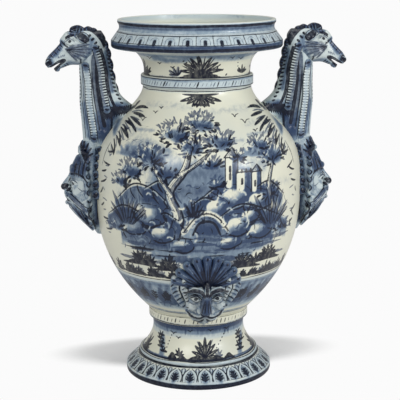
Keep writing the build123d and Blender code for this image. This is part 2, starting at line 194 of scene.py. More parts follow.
class View:
    """A drawing plane over a piece's points, with the true length of a millimetre across and up at each."""

    def __init__(self, paint, across, up, true_across=1.0, true_up=1.0, keep=None, soft=1.0):
        self.paint = paint
        self.index = np.arange(len(across)) if keep is None else np.nonzero(keep)[0]
        self.u = across[self.index]
        self.v = up[self.index]
        self.su = (np.zeros(len(across)) + true_across)[self.index]
        self.sv = (np.zeros(len(across)) + true_up)[self.index]
        self.soft = soft

    def near(self, points, margin):
        """Numbers of the points within a margin of a line's box."""
        (u0, v0), (u1, v1) = points.min(0) - margin, points.max(0) + margin
        return np.nonzero((self.u > u0) & (self.u < u1) & (self.v > v0) & (self.v < v1))[0]

    def reach(self, k, points, widths):
        """For the points k: the smallest distance beyond the half-width of a line."""
        best = np.full(len(k), 1e3)
        for (p, q), (w0, w1) in zip(zip(points[:-1], points[1:]), zip(widths[:-1], widths[1:])):
            du = (self.u[k] - p[0]) * self.su[k]
            dv = (self.v[k] - p[1]) * self.sv[k]
            eu = (q[0] - p[0]) * self.su[k]
            ev = (q[1] - p[1]) * self.sv[k]
            t = np.clip((du * eu + dv * ev) / (eu * eu + ev * ev + 1e-9), 0, 1)
            best = np.minimum(best, np.hypot(du - t * eu, dv - t * ev) - (w0 + t * (w1 - w0)))
        return best

    def cover(self, gap):
        """How much paint lies at a distance from the edge of a stroke."""
        return np.clip(0.5 - gap / (2 * self.soft), 0, 1)

    def lay(self, layer, k, value):
        """Thick paint: the stronger stroke shows."""
        target = getattr(self.paint, layer)
        target[self.index[k]] = np.maximum(target[self.index[k]], value)

    def soak(self, layer, k, value):
        """Thin paint: each coat adds to the one below."""
        target = getattr(self.paint, layer)
        target[self.index[k]] = 1 - (1 - target[self.index[k]]) * (1 - value)

    def stroke(self, points, width, layer, ends, strength=1.0):
        """A brush stroke through points; ends gives its width at both ends as a share of the middle."""
        line = flow(points)
        t = np.linspace(0, 1, len(line))
        body = np.sin(np.pi * t) ** 0.6
        share = body + (1 - body) * (ends[0] + (ends[1] - ends[0]) * t)
        k = self.near(line, width + 3)
        if len(k):
            gap = self.reach(k, line, share * width / 2)
            self.lay(layer, k, strength * self.cover(gap))

    def wash(self, points, radius, strength):
        """A soft patch of thin paint along points."""
        line = flow(points)
        k = self.near(line, radius)
        if len(k):
            gap = self.reach(k, line, np.zeros(len(line)))
            share = np.clip(1 - gap / radius, 0, 1)
            self.soak("tone", k, strength * share * share * (3 - 2 * share))

    def lift(self, points, width, strength=1.0):
        """A line left white."""
        line = flow(points)
        k = self.near(line, width + 3)
        if len(k):
            gap = self.reach(k, line, np.full(len(line), width / 2))
            keep = 1 - strength * self.cover(gap)
            for layer in ("tone", "mid", "dark"):
                getattr(self.paint, layer)[self.index[k]] *= keep

    def band(self, layer, level, width, strength):
        """A line right round a turned piece at one level, drawn by hand and so not quite even."""
        drift = 0.25 * (np.sin(self.u * 0.031 + level) + np.sin(self.u * 0.083 + 2 * level))
        gap = np.abs(self.v - level - drift) * self.sv - width / 2
        put = self.soak if layer in ("tone", "cool") else self.lay
        put(layer, np.arange(len(self.u)), strength * self.cover(gap))


def flow(points):
    """A smooth line through points."""
    points = np.asarray(points, float)
    if len(points) < 2:
        return np.concatenate([points, points + 0.01])
    if len(points) == 2:
        return points[0] + np.linspace(0, 1, 4)[:, None] * (points[1] - points[0])
    padded = np.concatenate([[2 * points[0] - points[1]], points, [2 * points[-1] - points[-2]]])
    out = []
    for a, b, c, d in zip(padded[:-3], padded[1:-2], padded[2:-1], padded[3:]):
        t = np.linspace(0, 1, 5, endpoint=False)[:, None]
        bend, twist = 2 * a - 5 * b + 4 * c - d, 3 * b - a - 3 * c + d
        out.append(0.5 * (2 * b + (c - a) * t + bend * t**2 + twist * t**3))
    return np.concatenate(out + [points[-1:]])


# Motifs that come back all over the jar.


def leaf(view, base, angle, length, width, layer, bend=0.0, rib=True):
    """One pointed leaf; angle in degrees from straight up, clockwise. A wide leaf gets a white rib."""
    a = math.radians(angle)
    axis = np.array([math.sin(a), math.cos(a)])
    side = np.array([axis[1], -axis[0]])
    base = np.asarray(base, float)
    points = [base + axis * length * t + side * bend * length * t * t for t in (0, 0.35, 0.7, 1.0)]
    view.stroke(points, width, layer, ends=(0.25, 0.05))
    if rib and width > 4.2:
        view.lift([points[0] * 0.3 + points[1] * 0.7, points[1], points[2]], 1.2, 0.9)


def fan(view, root, leaves, width, layer="dark", curl=0.0, rib=True):
    """Leaves from one root, given by angle and length; curl bends them outward."""
    for angle, length in leaves:
        leaf(view, root, angle, length, width, layer, curl * np.sign(angle), rib)


def tuft(view, base, size, count, spread, layer, width):
    """Leaves fanned out evenly from one root."""
    for k in range(count):
        share = 2 * k / (count - 1) - 1
        reach = size * (1 - 0.38 * abs(share)) * rng.uniform(0.86, 1.1)
        angle = spread * share + rng.uniform(-4, 4)
        leaf(view, base, angle, reach, width * rng.uniform(0.85, 1.1), layer, bend=0.18 * share)


def mound(view, centre, width, height):
    """A low heap of dark paint with a ragged top."""
    x, z = centre
    for k in range(3):
        level = z + height * (0.2 + 0.3 * k)
        half, foot = width / 2 * (1 - 0.3 * k), level - height * 0.25
        view.stroke([(x - half, foot), (x, level), (x + half, foot)], height * 0.55, "dark", (0.2, 0.2))


def bird(view, place, size, flip):
    """Two short curved flicks."""
    x, z = place
    body = (x, z - 0.3 * size)
    wing = [(x - size * flip, z + 0.35 * size), (x - 0.3 * size * flip, z + 0.2 * size), body]
    view.stroke(wing, 1.3, "dark", (0.3, 0.8))
    wing = [body, (x + 0.5 * size * flip, z + 0.3 * size), (x + size * flip, z + 0.45 * size)]
    view.stroke(wing, 1.2, "dark", (0.9, 0.2))


def dots(view, start, end, count, size):
    """A row of dots."""
    for k in range(count):
        t = k / (count - 1)
        x = start[0] + (end[0] - start[0]) * t
        z = start[1] + (end[1] - start[1]) * t
        view.stroke([(x, z), (x + 0.2, z + 0.2)], size * rng.uniform(0.8, 1.2), "dark", (1, 1))


def spray(view, place, size, angle, layer, count):
    """A bent stem with paired leaves."""
    a = math.radians(angle)
    axis = np.array([math.sin(a), math.cos(a)])
    side = np.array([axis[1], -axis[0]])
    base = np.asarray(place, float)
    stem = [base + axis * size * t + side * 0.15 * size * math.sin(2.2 * t) for t in (0, 0.3, 0.6, 1.0)]
    view.stroke(stem, 1.3, layer, ends=(1, 0.4))
    for k in range(count):
        t = 0.2 + 0.75 * k / count
        foot = base + axis * size * t + side * 0.15 * size * math.sin(2.2 * t)
        for turn in (-58, 52):
            leaf(view, foot, angle + turn, size * 0.42 * (1.1 - 0.5 * t), size * 0.15, layer, rib=False)


# Meshes of the turned pieces.


def new_piece(name, points, faces, nodes, paint, material):
    """Makes one piece of the scene in place of its solid, with its paint on its points."""
    mesh = bpy.data.meshes.new(name)
    mesh.from_pydata((np.asarray(points) * METRE).tolist(), [], faces)
    for layer in LAYERS:
        values = getattr(paint, layer).astype(np.float32)
        mesh.attributes.new(layer, "FLOAT", "POINT").data.foreach_set("value", values)
    mesh.shade_smooth()
    mesh.materials.append(material)
    piece = bpy.data.objects.new(name, mesh)
    bpy.context.scene.collection.objects.link(piece)
    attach(piece, "root")
    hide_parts(*nodes)


class Turned:
    """A turned piece: a painted outer line and the plain rest of its section, spun round the axis."""

    def __init__(self, outer, rest, angles):
        self.line = np.concatenate([outer, rest])
        self.painted = len(outer)
        self.length = lengths(outer)
        shape = (len(self.line), len(angles))
        self.r = np.broadcast_to(self.line[:, :1], shape).copy()
        self.z = np.broadcast_to(self.line[:, 1:], shape).copy()
        self.a = np.broadcast_to((angles + math.pi) % (2 * math.pi) - math.pi, shape).copy()
        self.paint = Paint(self.r.size)
        self.outer = np.zeros(shape, bool)
        self.outer[: self.painted] = True
        slope = np.ones(shape)
        rise = np.abs(np.gradient(outer[:, 1], self.length + np.arange(len(outer)) * 1e-9))
        slope[: self.painted] = (1 / np.clip(rise, 0.2, 1))[:, None]
        self.slope = slope
        along = np.zeros(shape)
        along[: self.painted] = self.length[:, None]
        self.along = along

    def view(self, across, up, true_across, true_up, keep, soft):
        """A drawing plane over the outer side, from grids of values."""
        grids = (across, up, true_across, true_up, self.outer & keep)
        return View(self.paint, *(np.broadcast_to(grid, self.r.shape).ravel() for grid in grids), soft)

    def round_view(self, radius, soft=1.0, by_length=False):
        """Across is the angle times a radius, up is the height, or the length along the outer line."""
        up, true_up = (self.along, 1.0) if by_length else (self.z, self.slope)
        return self.view(self.a * radius, up, self.r / radius, true_up, True, soft)

    def front_view(self, soft):
        """Across and up as seen from the front of the picture."""
        facing = np.cos(self.a + TURN)
        across = self.r * np.sin(self.a + TURN)
        return self.view(across, self.z, 1 / np.clip(facing, 0.3, 1), self.slope, facing > 0.12, soft)

    def cells(self, count, radius, soft, jitter=0.3, offset=0.0):
        """A drawing plane that repeats round the piece; across runs from the middle of each cell."""
        step = 2 * math.pi / count
        shifted = self.a / step + offset
        number = np.floor(shifted + 0.5)
        # An uneven shift for each cell, up to the jitter either way, from the last digits of a large sine.
        shake = np.sin(number * 12.9898) * 43758.5453
        shake = (shake - np.floor(shake) - 0.5) * 2 * jitter
        across = (shifted - number) * step * radius + shake
        return self.view(across, self.along + 0.6 * shake, self.r / radius, 1.0, True, soft)

    def build(self, name, nodes, material):
        """Makes the piece, a little uneven as thrown clay is, and just inside the solid's surface."""
        r = self.r - SKIN
        r = r - 0.1 * (1 + np.sin(3 * self.a + self.z * 0.05) * np.cos(2 * self.a - self.z * 0.11)) / 2
        r = np.where(self.r < 0.01, 0, r)
        x, y = r * np.sin(self.a), -r * np.cos(self.a)
        rows, cols = self.r.shape
        number = np.arange(rows * cols).reshape(rows, cols)
        poles = self.line[:, 0] < 0.01
        number[poles] = number[poles][:, :1]
        above = np.roll(number, -1, 0)
        quads = np.stack([number, np.roll(number, -1, 1), np.roll(above, -1, 1), above], -1).reshape(-1, 4)
        used, compact = np.unique(quads, return_inverse=True)
        compact = compact.reshape(quads.shape)
        faces = []
        for f in compact.tolist():
            f = [c for k, c in enumerate(f) if c != f[k - 1]]
            if len(f) > 2:
                faces.append(f)
        points = np.stack([x.ravel(), y.ravel(), self.z.ravel()], 1)[used]
        kept = Paint(len(used))
        for layer in LAYERS:
            setattr(kept, layer, getattr(self.paint, layer)[used])
        new_piece(name, points, faces, nodes, kept, material)


# Clay for the modelled pieces.


def soft_max(a, b, blend):
    """The larger of two distances, rounded off where they are within a blend of each other."""
    h = np.clip(blend - np.abs(a - b), 0, None) / blend
    return np.maximum(a, b) + h * h * blend / 4


def neighbours(axis):
    """Cuts that take each grid point along one axis, and the next one."""
    first, second = [slice(None)] * 3, [slice(None)] * 3
    first[axis], second[axis] = slice(0, -1), slice(1, None)
    return tuple(first), tuple(second)


class Clay:
    """Clay on a grid of points: distances below zero are inside."""

    def __init__(self, low, high, step):
        self.step = step
        self.axes = [np.arange(a, b + step, step) for a, b in zip(low, high)]
        self.field = np.full([len(a) for a in self.axes], 30.0, np.float32)

    def window(self, low, high):
        """The part of the grid that holds a box, and its coordinates."""
        cut = []
        for axis, start, stop in zip(self.axes, low, high):
            cut.append(slice(max(0, np.searchsorted(axis, start) - 1), np.searchsorted(axis, stop) + 1))
        x, y, z = (a[c] for a, c in zip(self.axes, cut))
        return tuple(cut), (x[:, None, None], y[None, :, None], z[None, None, :])

    def merge(self, cut, gap, blend, take=False):
        """Adds a shape to the clay, or takes it away."""
        old = self.field[cut]
        self.field[cut] = soft_max(old, -gap, blend) if take else -soft_max(-old, -gap, blend)

    def rods(self, rails, radii, blend, take=False):
        """The same rod along each of several lines."""
        for rail in rails:
            self.rod(rail, radii, blend, take)

    def eggs(self, places, radii, blend, take=False, frame=None):
        """The same ellipsoid at each of several places."""
        for (place,) in places:
            self.egg(place, radii, blend, take, frame)

    def rod(self, points, radii, blend, take=False):
        """A round rod through points, its radius changing along it."""
        points = np.asarray(points, float)
        radii = np.zeros(len(points)) + radii
        if len(points) > 2:
            t = np.linspace(0, len(points) - 1, 4 * len(points) - 3)
            radii = np.interp(t, np.arange(len(points)), radii)
            points = np.stack([hermite(points[:, k], t) for k in range(3)], 1)
        margin = radii.max() + blend + 2 * self.step
        cut, (x, y, z) = self.window(points.min(0) - margin, points.max(0) + margin)
        best = None
        if len(points) == 1:
            points, radii = np.repeat(points, 2, 0), np.repeat(radii, 2)
        for p, q, r0, r1 in zip(points[:-1], points[1:], radii[:-1], radii[1:]):
            e = q - p
            dx, dy, dz = x - p[0], y - p[1], z - p[2]
            t = np.clip((dx * e[0] + dy * e[1] + dz * e[2]) / (e @ e + 1e-9), 0, 1)
            away = np.sqrt((dx - t * e[0]) ** 2 + (dy - t * e[1]) ** 2 + (dz - t * e[2]) ** 2)
            gap = away - (r0 + t * (r1 - r0))
            best = gap if best is None else np.minimum(best, gap)
        self.merge(cut, best, blend, take)

    def egg(self, centre, radii, blend, take=False, frame=None):
        """An ellipsoid; frame holds its three directions as rows."""
        margin = max(radii) + blend + 2 * self.step
        centre = np.asarray(centre, float)
        cut, (x, y, z) = self.window(centre - margin, centre + margin)
        frame = np.eye(3) if frame is None else np.asarray(frame, float)
        x, y, z = x - centre[0], y - centre[1], z - centre[2]
        local = [f[0] * x + f[1] * y + f[2] * z for f in frame]
        k0 = np.sqrt(sum((p / r) ** 2 for p, r in zip(local, radii)))
        k1 = np.sqrt(sum((p / r**2) ** 2 for p, r in zip(local, radii)))
        self.merge(cut, k0 * (k0 - 1) / (k1 + 1e-6), blend, take)

    def loft(self, origin, along, up, stations, blend=2.0):
        """Ovals stacked along a direction: place, low edge, high edge, half-width."""
        origin, along, up = (np.asarray(v, float) for v in (origin, along, up))
        side = np.cross(up, along)
        stations = np.asarray(stations, float)
        x, y, z = (a.reshape([-1 if k == n else 1 for k in range(3)]) for n, a in enumerate(self.axes))
        x, y, z = x - origin[0], y - origin[1], z - origin[2]
        place = along[0] * x + along[1] * y + along[2] * z
        rise = up[0] * x + up[1] * y + up[2] * z
        over = side[0] * x + side[1] * y + side[2] * z
        t = np.interp(place, stations[:, 0], np.arange(len(stations)))
        lows, highs, halves = (hermite(stations[:, k], t) for k in (1, 2, 3))
        mid, tall, half = (lows + highs) / 2, np.maximum((highs - lows) / 2, 0.5), np.maximum(halves, 0.5)
        p, q = (rise - mid) / tall, over / half
        k0 = np.sqrt(p * p + q * q)
        k1 = np.sqrt((p / tall) ** 2 + (q / half) ** 2)
        gap = k0 * (k0 - 1) / (k1 + 1e-6)
        gap = np.maximum(gap, np.maximum(stations[0, 0] - place, place - stations[-1, 0]))
        self.merge((slice(None),) * 3, gap, blend)

    def keep_outside(self, depth):
        """Takes away what lies deeper than a depth inside the body."""
        x, y, z = np.meshgrid(*self.axes, indexing="ij", sparse=True)
        inner = body_radius(z) - depth
        self.field = np.maximum(self.field, (inner - np.hypot(x, y)).astype(np.float32))

    def hollow(self, points, size):
        """How far each surface point lies in a dip, from a blurred copy of the field."""
        blur = np.clip(self.field, -6, 6)
        for axis in range(3):
            rim = [(size + 1, size) if k == axis else (0, 0) for k in range(3)]
            total = np.cumsum(np.pad(blur, rim, mode="edge"), axis)
            upper = np.take(total, np.arange(2 * size + 1, total.shape[axis]), axis)
            lower = np.take(total, np.arange(total.shape[axis] - 2 * size - 1), axis)
            blur = (upper - lower) / (2 * size + 1)
        place = []
        for k in range(3):
            nearest = ((points[:, k] - self.axes[k][0]) / self.step).round().astype(int)
            place.append(np.clip(nearest, 0, blur.shape[k] - 1))
        return -blur[tuple(place)]

    def skin(self):
        """Points and four-sided faces of the surface, one point in each cell that it crosses."""
        f = self.field.copy()
        for k in range(3):
            edge = [slice(None)] * 3
            for side in (0, -1):
                edge[k] = side
                f[tuple(edge)] = np.maximum(f[tuple(edge)], 0.5)
        inside = f < 0
        nx, ny, nz = f.shape
        place = np.zeros((nx - 1, ny - 1, nz - 1, 3))
        count = np.zeros((nx - 1, ny - 1, nz - 1))
        for axis in range(3):
            a, b = neighbours(axis)
            fa, fb = f[a], f[b]
            cross = inside[a] != inside[b]
            t = np.where(cross, fa / (fa - fb + 1e-12), 0)
            others = [k for k in range(3) if k != axis]
            for i in (0, 1):
                for j in (0, 1):
                    cut = [slice(None)] * 3
                    cut[others[0]] = slice(i, f.shape[others[0]] - 1 + i)
                    cut[others[1]] = slice(j, f.shape[others[1]] - 1 + j)
                    c, s = cross[tuple(cut)], t[tuple(cut)]
                    count += c
                    place[..., axis] += np.where(c, s, 0)
                    place[..., others[0]] += c * i
                    place[..., others[1]] += c * j
        filled = count > 0
        number = np.full(filled.shape, -1)
        number[filled] = np.arange(filled.sum())
        grid = np.stack(np.nonzero(filled), 1)
        start = np.array([a[0] for a in self.axes])
        points = (grid + place[filled] / count[filled][:, None]) * self.step + start
        faces = []
        for axis in range(3):
            o1, o2 = [(1, 2), (2, 0), (0, 1)][axis]
            a, b = neighbours(axis)
            cross = inside[a] != inside[b]
            spot = np.stack(np.nonzero(cross), 1)
            spot = spot[(spot[:, o1] > 0) & (spot[:, o2] > 0)]
            first = inside[tuple(spot.T)]
            ring = []
            for i, j in ((1, 1), (0, 1), (0, 0), (1, 0)):
                cell = spot.copy()
                cell[:, o1] -= i
                cell[:, o2] -= j
                ring.append(number[tuple(cell.T)])
            ring = np.stack(ring, 1)
            ring[~first] = ring[~first][:, ::-1]
            faces.append(ring)
        return points, np.concatenate(faces)


def hermite(values, t):
    """Smooth values between whole steps, without overshoot."""
    values = np.asarray(values, float)
    step = np.diff(values)
    slope = np.zeros(len(values))
    before, after = step[:-1], step[1:]
    same = before * after > 0
    slope[1:-1] = np.where(same, 2 * before * after / np.where(same, before + after, 1), 0)
    slope[0], slope[-1] = step[0], step[-1]
    k = np.clip(np.floor(t).astype(int), 0, len(values) - 2)
    s = t - k
    a, b, m, n = values[k], values[k + 1], slope[k], slope[k + 1]
    return a + s * m + s * s * (3 * (b - a) - 2 * m - n) + s**3 * (m + n - 2 * (b - a))


def polygon_gap(corners, x, z):
    """Distance from a closed outline, below zero inside it."""
    corners = np.asarray(corners, float)
    best = np.full(np.broadcast(x, z).shape, 1e9)
    inside = np.zeros(best.shape, bool)
    for (px, pz), (qx, qz) in zip(corners, np.roll(corners, -1, 0)):
        ex, ez = qx - px, qz - pz
        t = np.clip(((x - px) * ex + (z - pz) * ez) / (ex * ex + ez * ez + 1e-9), 0, 1)
        best = np.minimum(best, np.hypot(x - px - t * ex, z - pz - t * ez))
        inside ^= ((pz > z) != (qz > z)) & (x < (qx - px) * (z - pz) / (qz - pz + 1e-12) + px)
    return np.where(inside, -best, best)


# Glaze.


def linear(r, g, b):
    """A screen colour, 0 to 255, as the shader takes it."""
    shares = [c / 255 for c in (r, g, b)]
    return tuple(c / 12.92 if c <= 0.04045 else ((c + 0.055) / 1.055) ** 2.4 for c in shares) + (1.0,)


WARM = linear(217, 217, 199)
COOL = linear(188, 201, 204)
WASH = linear(110, 131, 152)
BLUE = linear(44, 62, 92)
INK = linear(9, 16, 36)
PIT = linear(120, 118, 120)


class Nodes:
    """A short way to build a shader."""

    def __init__(self, name):
        self.material = bpy.data.materials.new(name)
        self.material.use_nodes = True
        self.tree = self.material.node_tree
        self.tree.nodes.clear()

    def feed(self, socket, value):
        """Links an input to an output, or sets its value."""
        if isinstance(value, bpy.types.NodeSocket):
            self.tree.links.new(value, socket)
        else:
            socket.default_value = value

    def add(self, kind, settings=None, **inputs):
        """A node; an input is named, or i and its number."""
        node = self.tree.nodes.new(kind)
        for key, value in (settings or {}).items():
            setattr(node, key, value)
        for key, value in inputs.items():
            numbered = key[0] == "i" and key[1:].isdigit()
            self.feed(node.inputs[int(key[1:]) if numbered else key.replace("_", " ")], value)
        return node

    def math(self, operation, a, b, clamp=False):
        node = self.add("ShaderNodeMath", {"operation": operation, "use_clamp": clamp}, i0=a, i1=b)
        return node.outputs[0]

    def plus(self, a, b, times, clamp=False):
        """a, and b so many times."""
        return self.math("ADD", a, self.math("MULTIPLY", b, times), clamp)

    def ramp(self, value, low, high):
        """0 at low, 1 at high, eased."""
        eased = {"interpolation_type": "SMOOTHSTEP"}
        return self.add("ShaderNodeMapRange", eased, Value=value, From_Min=low, From_Max=high).outputs[0]

    def mix(self, share, a, b):
        return self.add("ShaderNodeMix", {"data_type": "RGBA"}, i0=share, i6=a, i7=b).outputs[2]

    def noise(self, place, scale, detail, rough=0.55):
        node = self.add("ShaderNodeTexNoise", None, Vector=place, Scale=scale, Detail=detail, Roughness=rough)
        return node.outputs["Fac"]


def glazed(name, cool, streak=(1.0, 1.0, 1.0), relief=1.0):
    """Tin glaze with cobalt painting, from the paint stored at a piece's points.

    cool is how blue its white is, streak stretches the brush marks, and relief is how uneven the glaze is.
    """
    n = Nodes(name)
    place = n.add("ShaderNodeTexCoord").outputs["Object"]
    along = n.add("ShaderNodeMapping", None, Vector=place, Scale=streak).outputs[0]
    paint = {k: n.add("ShaderNodeAttribute", {"attribute_name": k}).outputs["Fac"] for k in LAYERS}
    cloud = n.noise(place, 9.0, 4.0)
    brush = n.noise(along, 190.0, 4.0, 0.6)
    grain = n.noise(along, 520.0, 3.0, 0.6)
    speck = n.noise(place, 900.0, 1.0, 0.5)

    chill = n.plus(paint["cool"], n.math("SUBTRACT", cloud, 0.5), 0.9, True)
    chill = n.math("ADD", chill, cool, True)
    colour = n.mix(chill, WARM, COOL)
    colour = n.mix(n.math("MULTIPLY", n.ramp(cloud, 0.45, 0.75), 0.10), colour, WASH)

    shake = n.math("SUBTRACT", brush, 0.5)
    fine = n.math("SUBTRACT", grain, 0.5)
    present = n.ramp(paint["tone"], 0.0, 0.15)
    tone = n.plus(paint["tone"], n.math("MULTIPLY", shake, present), 0.55)
    colour = n.mix(n.math("MULTIPLY", n.ramp(tone, 0.03, 0.5), 0.92), colour, WASH)
    colour = n.mix(n.ramp(tone, 0.4, 0.92), colour, BLUE)
    mid = n.plus(paint["mid"], fine, 0.3)
    mid_share = n.ramp(mid, 0.32, 0.56)
    depth = n.plus(0.8, shake, 0.9, True)
    colour = n.mix(n.math("MULTIPLY", mid_share, depth), colour, BLUE)
    dark = n.plus(paint["dark"], fine, 0.26)
    dark_share = n.ramp(dark, 0.30, 0.5)
    depth = n.plus(0.96, shake, 0.6, True)
    colour = n.mix(n.math("MULTIPLY", dark_share, depth), colour, INK)
    pin = n.ramp(speck, 0.74, 0.8)
    colour = n.mix(n.math("MULTIPLY", pin, 0.35), colour, PIT)

    swell = n.noise(place, 26.0, 2.0)
    bump = n.add("ShaderNodeBump", None, Strength=0.10 * relief, Distance=0.0016, Height=swell)
    bump2 = n.add(
        "ShaderNodeBump", None, Strength=0.10 * relief, Distance=0.0003, Height=grain, Normal=bump.outputs[0]
    )
    shine = n.plus(0.27, n.ramp(cloud, 0.3, 0.8), 0.14)
    shader = n.add(
        "ShaderNodeBsdfPrincipled", None, Base_Color=colour, Roughness=shine, IOR=1.5, Normal=bump2.outputs[0]
    )
    n.feed(shader.inputs["Specular IOR Level"], 0.32)
    n.feed(shader.inputs["Coat Weight"], 0.05)
    n.feed(shader.inputs["Coat Roughness"], 0.08)
    n.add("ShaderNodeOutputMaterial", None, Surface=shader.outputs[0])
    return n.material


thrown = glazed("glaze_thrown", 0.0, (1.0, 1.0, 0.55))
banded = glazed("glaze_banded", 0.35)
modelled = glazed("glaze_modelled", 0.3, relief=1.4)


# The painted foot, stem, bands, neck and rim.


def crisp(line):
    """The same line with a point close to each end, so that edges stay sharp."""
    first = line[0] + (line[1] - line[0]) * 0.2 / np.hypot(*(line[1] - line[0]))
    last = line[-1] + (line[-2] - line[-1]) * 0.2 / np.hypot(*(line[-2] - line[-1]))
    return np.concatenate([line[:1], [first], line[1:-1], [last], line[-1:]])


def bands(view, *rows):
    """Lines round a piece: layer, level, width, strength."""
    for layer, level, width, strength in rows:
        view.band(layer, level, width, strength)


def standing_foot():
    """The foot plinth, with its border of leaves in arches."""
    slope_start = (107.03, 10.89)
    outer = join(
        [(94, 0)], [(105, 0)], arc((105, 3), 3, -90, 0), arc((105, 8.69), 3, 0, 47.3), [(88.5, FOOT_TOP)]
    )
    piece = Turned(crisp(walk(outer, 1.15)), [(69.8, FOOT_TOP)], columns(108, 1.15, 2.2))
    view = piece.round_view(100, 0.9)
    bands(view, ("dark", 3.8, 8.5, 0.85), ("mid", 1.0, 4, 0.9), ("tone", 4, 9, 0.7), ("cool", 18, 20, 0.6))
    view.band("dark", 27.3, 1.5, 0.9)
    along = piece.round_view(100, 0.9, True)
    foot = float(np.interp(slope_start[1], piece.line[3 : piece.painted, 1], piece.length[3:]))
    arch = piece.cells(29, 96, 0.8)
    rise = 21.5
    low_edge = foot + 1.6
    for side in (-1, 1):
        curve = [
            (7.6 * side, low_edge), (8.2 * side, low_edge + 8), (5.4 * side, low_edge + 15),
            (0, low_edge + rise - 1.5)
        ]
        arch.stroke([(x + 1.9 * side, y + 0.6) for x, y in curve], 1.5, "dark", (1, 0.6), 0.9)
        arch.stroke([(x - 2.1 * side, y - 1.0) for x, y in curve], 1.2, "mid", (1, 0.6), 0.85)
        arch.stroke(
            [(9.4 * side, low_edge + 13), (8.0 * side, low_edge + 18.5), (9.8 * side, low_edge + 21)], 2.6,
            "mid", (0.6, 0.6), 0.7
        )
    arch.wash([(0, low_edge + 1), (0, low_edge + 11)], 7.5, 0.62)
    arch.stroke([(0, low_edge + 1), (0, low_edge + 15)], 2.6, "dark", (1, 0.3))
    for y, reach, drop in ((2.5, 5.2, 2.2), (6, 5.0, 2.6), (9.8, 3.8, 2.8)):
        for side in (-1, 1):
            arch.stroke(
                [
                    (0, low_edge + y - 1), (reach * 0.6 * side, low_edge + y + drop * 0.3),
                    (reach * side, low_edge + y + drop)
                ],
                2.5, "dark", (0.7, 0.35), 0.95
            )
    top = piece.length[-1]
    along.band("dark", top - 0.5, 1.8, 0.9)
    along.band("dark", foot + 0.3, 0.9, 0.75)
    piece.build("painted_foot", ["foot_plinth"], banded)


def foot_bead():
    """The thin bead on the foot."""
    outer = join([(71, FOOT_TOP)], [(85, FOOT_TOP)], arc((85, 31), 3, -90, 90, 9), [(71, STEM_LOW)])
    outer = outer[1:-1]
    piece = Turned(walk(outer, 0.8), [(70, STEM_LOW), (70, FOOT_TOP)], columns(88, 1.3, 2.4))
    view = piece.round_view(88)
    bands(
        view, ("cool", 31, 6, 0.9), ("dark", 28.4, 1.1, 0.9), ("dark", 33.7, 1.1, 0.95), ("tone", 31, 8, 0.12)
    )
    piece.build("painted_bead", ["foot_bead_ring"], banded)


def stem():
    """The flared stem, with a tuft in front and smaller ones round it."""
    outer = curve_of(stem_radius, STEM_LOW, STEM_TOP)
    inner = curve_of(stem_radius, STEM_LOW, STEM_TOP, STEM_WALL)[::-1]
    piece = Turned(crisp(walk(outer, 1.1)), walk(inner, 8), columns(75, 1.1, 2.0, 88))
    ring = piece.round_view(75, 1.6)
    bands(
        ring, ("tone", 84, 9, 0.9), ("tone", 80, 10, 0.72), ("tone", 75, 9, 0.45), ("tone", 70, 8, 0.18),
        ("cool", 78, 30, 0.7)
    )
    bands(
        ring, ("dark", 83.6, 1.6, 0.6), ("tone", 35, 5, 0.7), ("dark", 34.6, 2.2, 0.95),
        ("mid", 36.6, 2.5, 0.7)
    )
    for _ in range(120):
        u = rng.uniform(-235, 235)
        ring.stroke(
            [(u, 83), (u + rng.uniform(-2, 2), 83 - rng.uniform(5, 17))], rng.uniform(1.5, 4), "mid",
            (0.8, 0.1), rng.uniform(0.4, 0.8)
        )
    view = piece.front_view(0.8)
    for x, width in ((-38, 16), (-24, 22), (-6, 34), (8, 40), (26, 30), (44, 18)):
        mound(view, (x, 35 + 0.0006 * x * x), width, rng.uniform(5.5, 8))
    root = (9.5, 38.5)
    leaves = ((0, 28), (-17, 24), (16, 25), (-36, 22), (35, 23), (-60, 21), (58, 22), (-80, 17), (79, 18))
    fan(view, root, leaves, 5.2, curl=0.1)
    fan(view, root, ((-27, 26), (26, 27), (-47, 16), (46, 17)), 2.2, "mid", rib=False)
    tuft(view, (-28, 40), 12, 5, 60, "dark", 3.0)
    tuft(view, (29, 39), 11, 5, 65, "mid", 3.0)
    for x in (-54, 61):
        for level in (42, 47, 52, 57, 62):
            tuft(view, (x + rng.uniform(-3, 3), level), 8.5, 4, 70, "dark", 2.6)
        view.wash([(x, 40), (x + 2, 60)], 9, 0.6)
    dots(view, (-48, 44), (-39, 66), 6, 1.7)
    dots(view, (24, 46), (37, 68), 6, 1.7)
    for x, z, s in ((-36, 70, 5), (-29, 64, 4), (18, 76, 4.5), (41, 76, 4.5), (58, 66, 4), (-12, 75, 4)):
        bird(view, (x, z), s, rng.choice([-1, 1]))
    back = piece.round_view(75, 0.9)
    for u in (-175, -140, 140, 175, 105, -105):
        tuft(back, (u, 38), 22, 7, 78, "dark", 4.2)
        mound(back, (u, 35.5), 30, 6)
    piece.build("painted_stem", ["foot_stem"], thrown)


def collar():
    """The collar between stem and bowl, with slanting dashes."""
    outer = join(
        [(65, 84)], [(72, 84)], arc((72, 85.5), 1.5, -90, 0, 5), arc((72, 95.5), 1.5, 0, 90, 5), [(65, 97)]
    )
    piece = Turned(walk(outer, 0.8), [(65, 96), (65, 85)], columns(73.5, 1.1, 1.8))
    view = piece.round_view(73.5, 0.9)
    bands(view, ("dark", 85.3, 1.3, 0.95), ("dark", 96.4, 1.1, 0.7), ("tone", 86, 3, 0.3))
    for k in range(68):
        u = -231 + k * 6.8 + rng.uniform(-1, 1)
        bold = rng.uniform(0.55, 1.0)
        view.stroke([(u - 0.8, 88.4), (u + 0.9, 94.6)], rng.uniform(1.1, 1.9), "dark", (0.7, 0.5), bold)
    piece.build("painted_collar", ["stem_ring"], thrown)


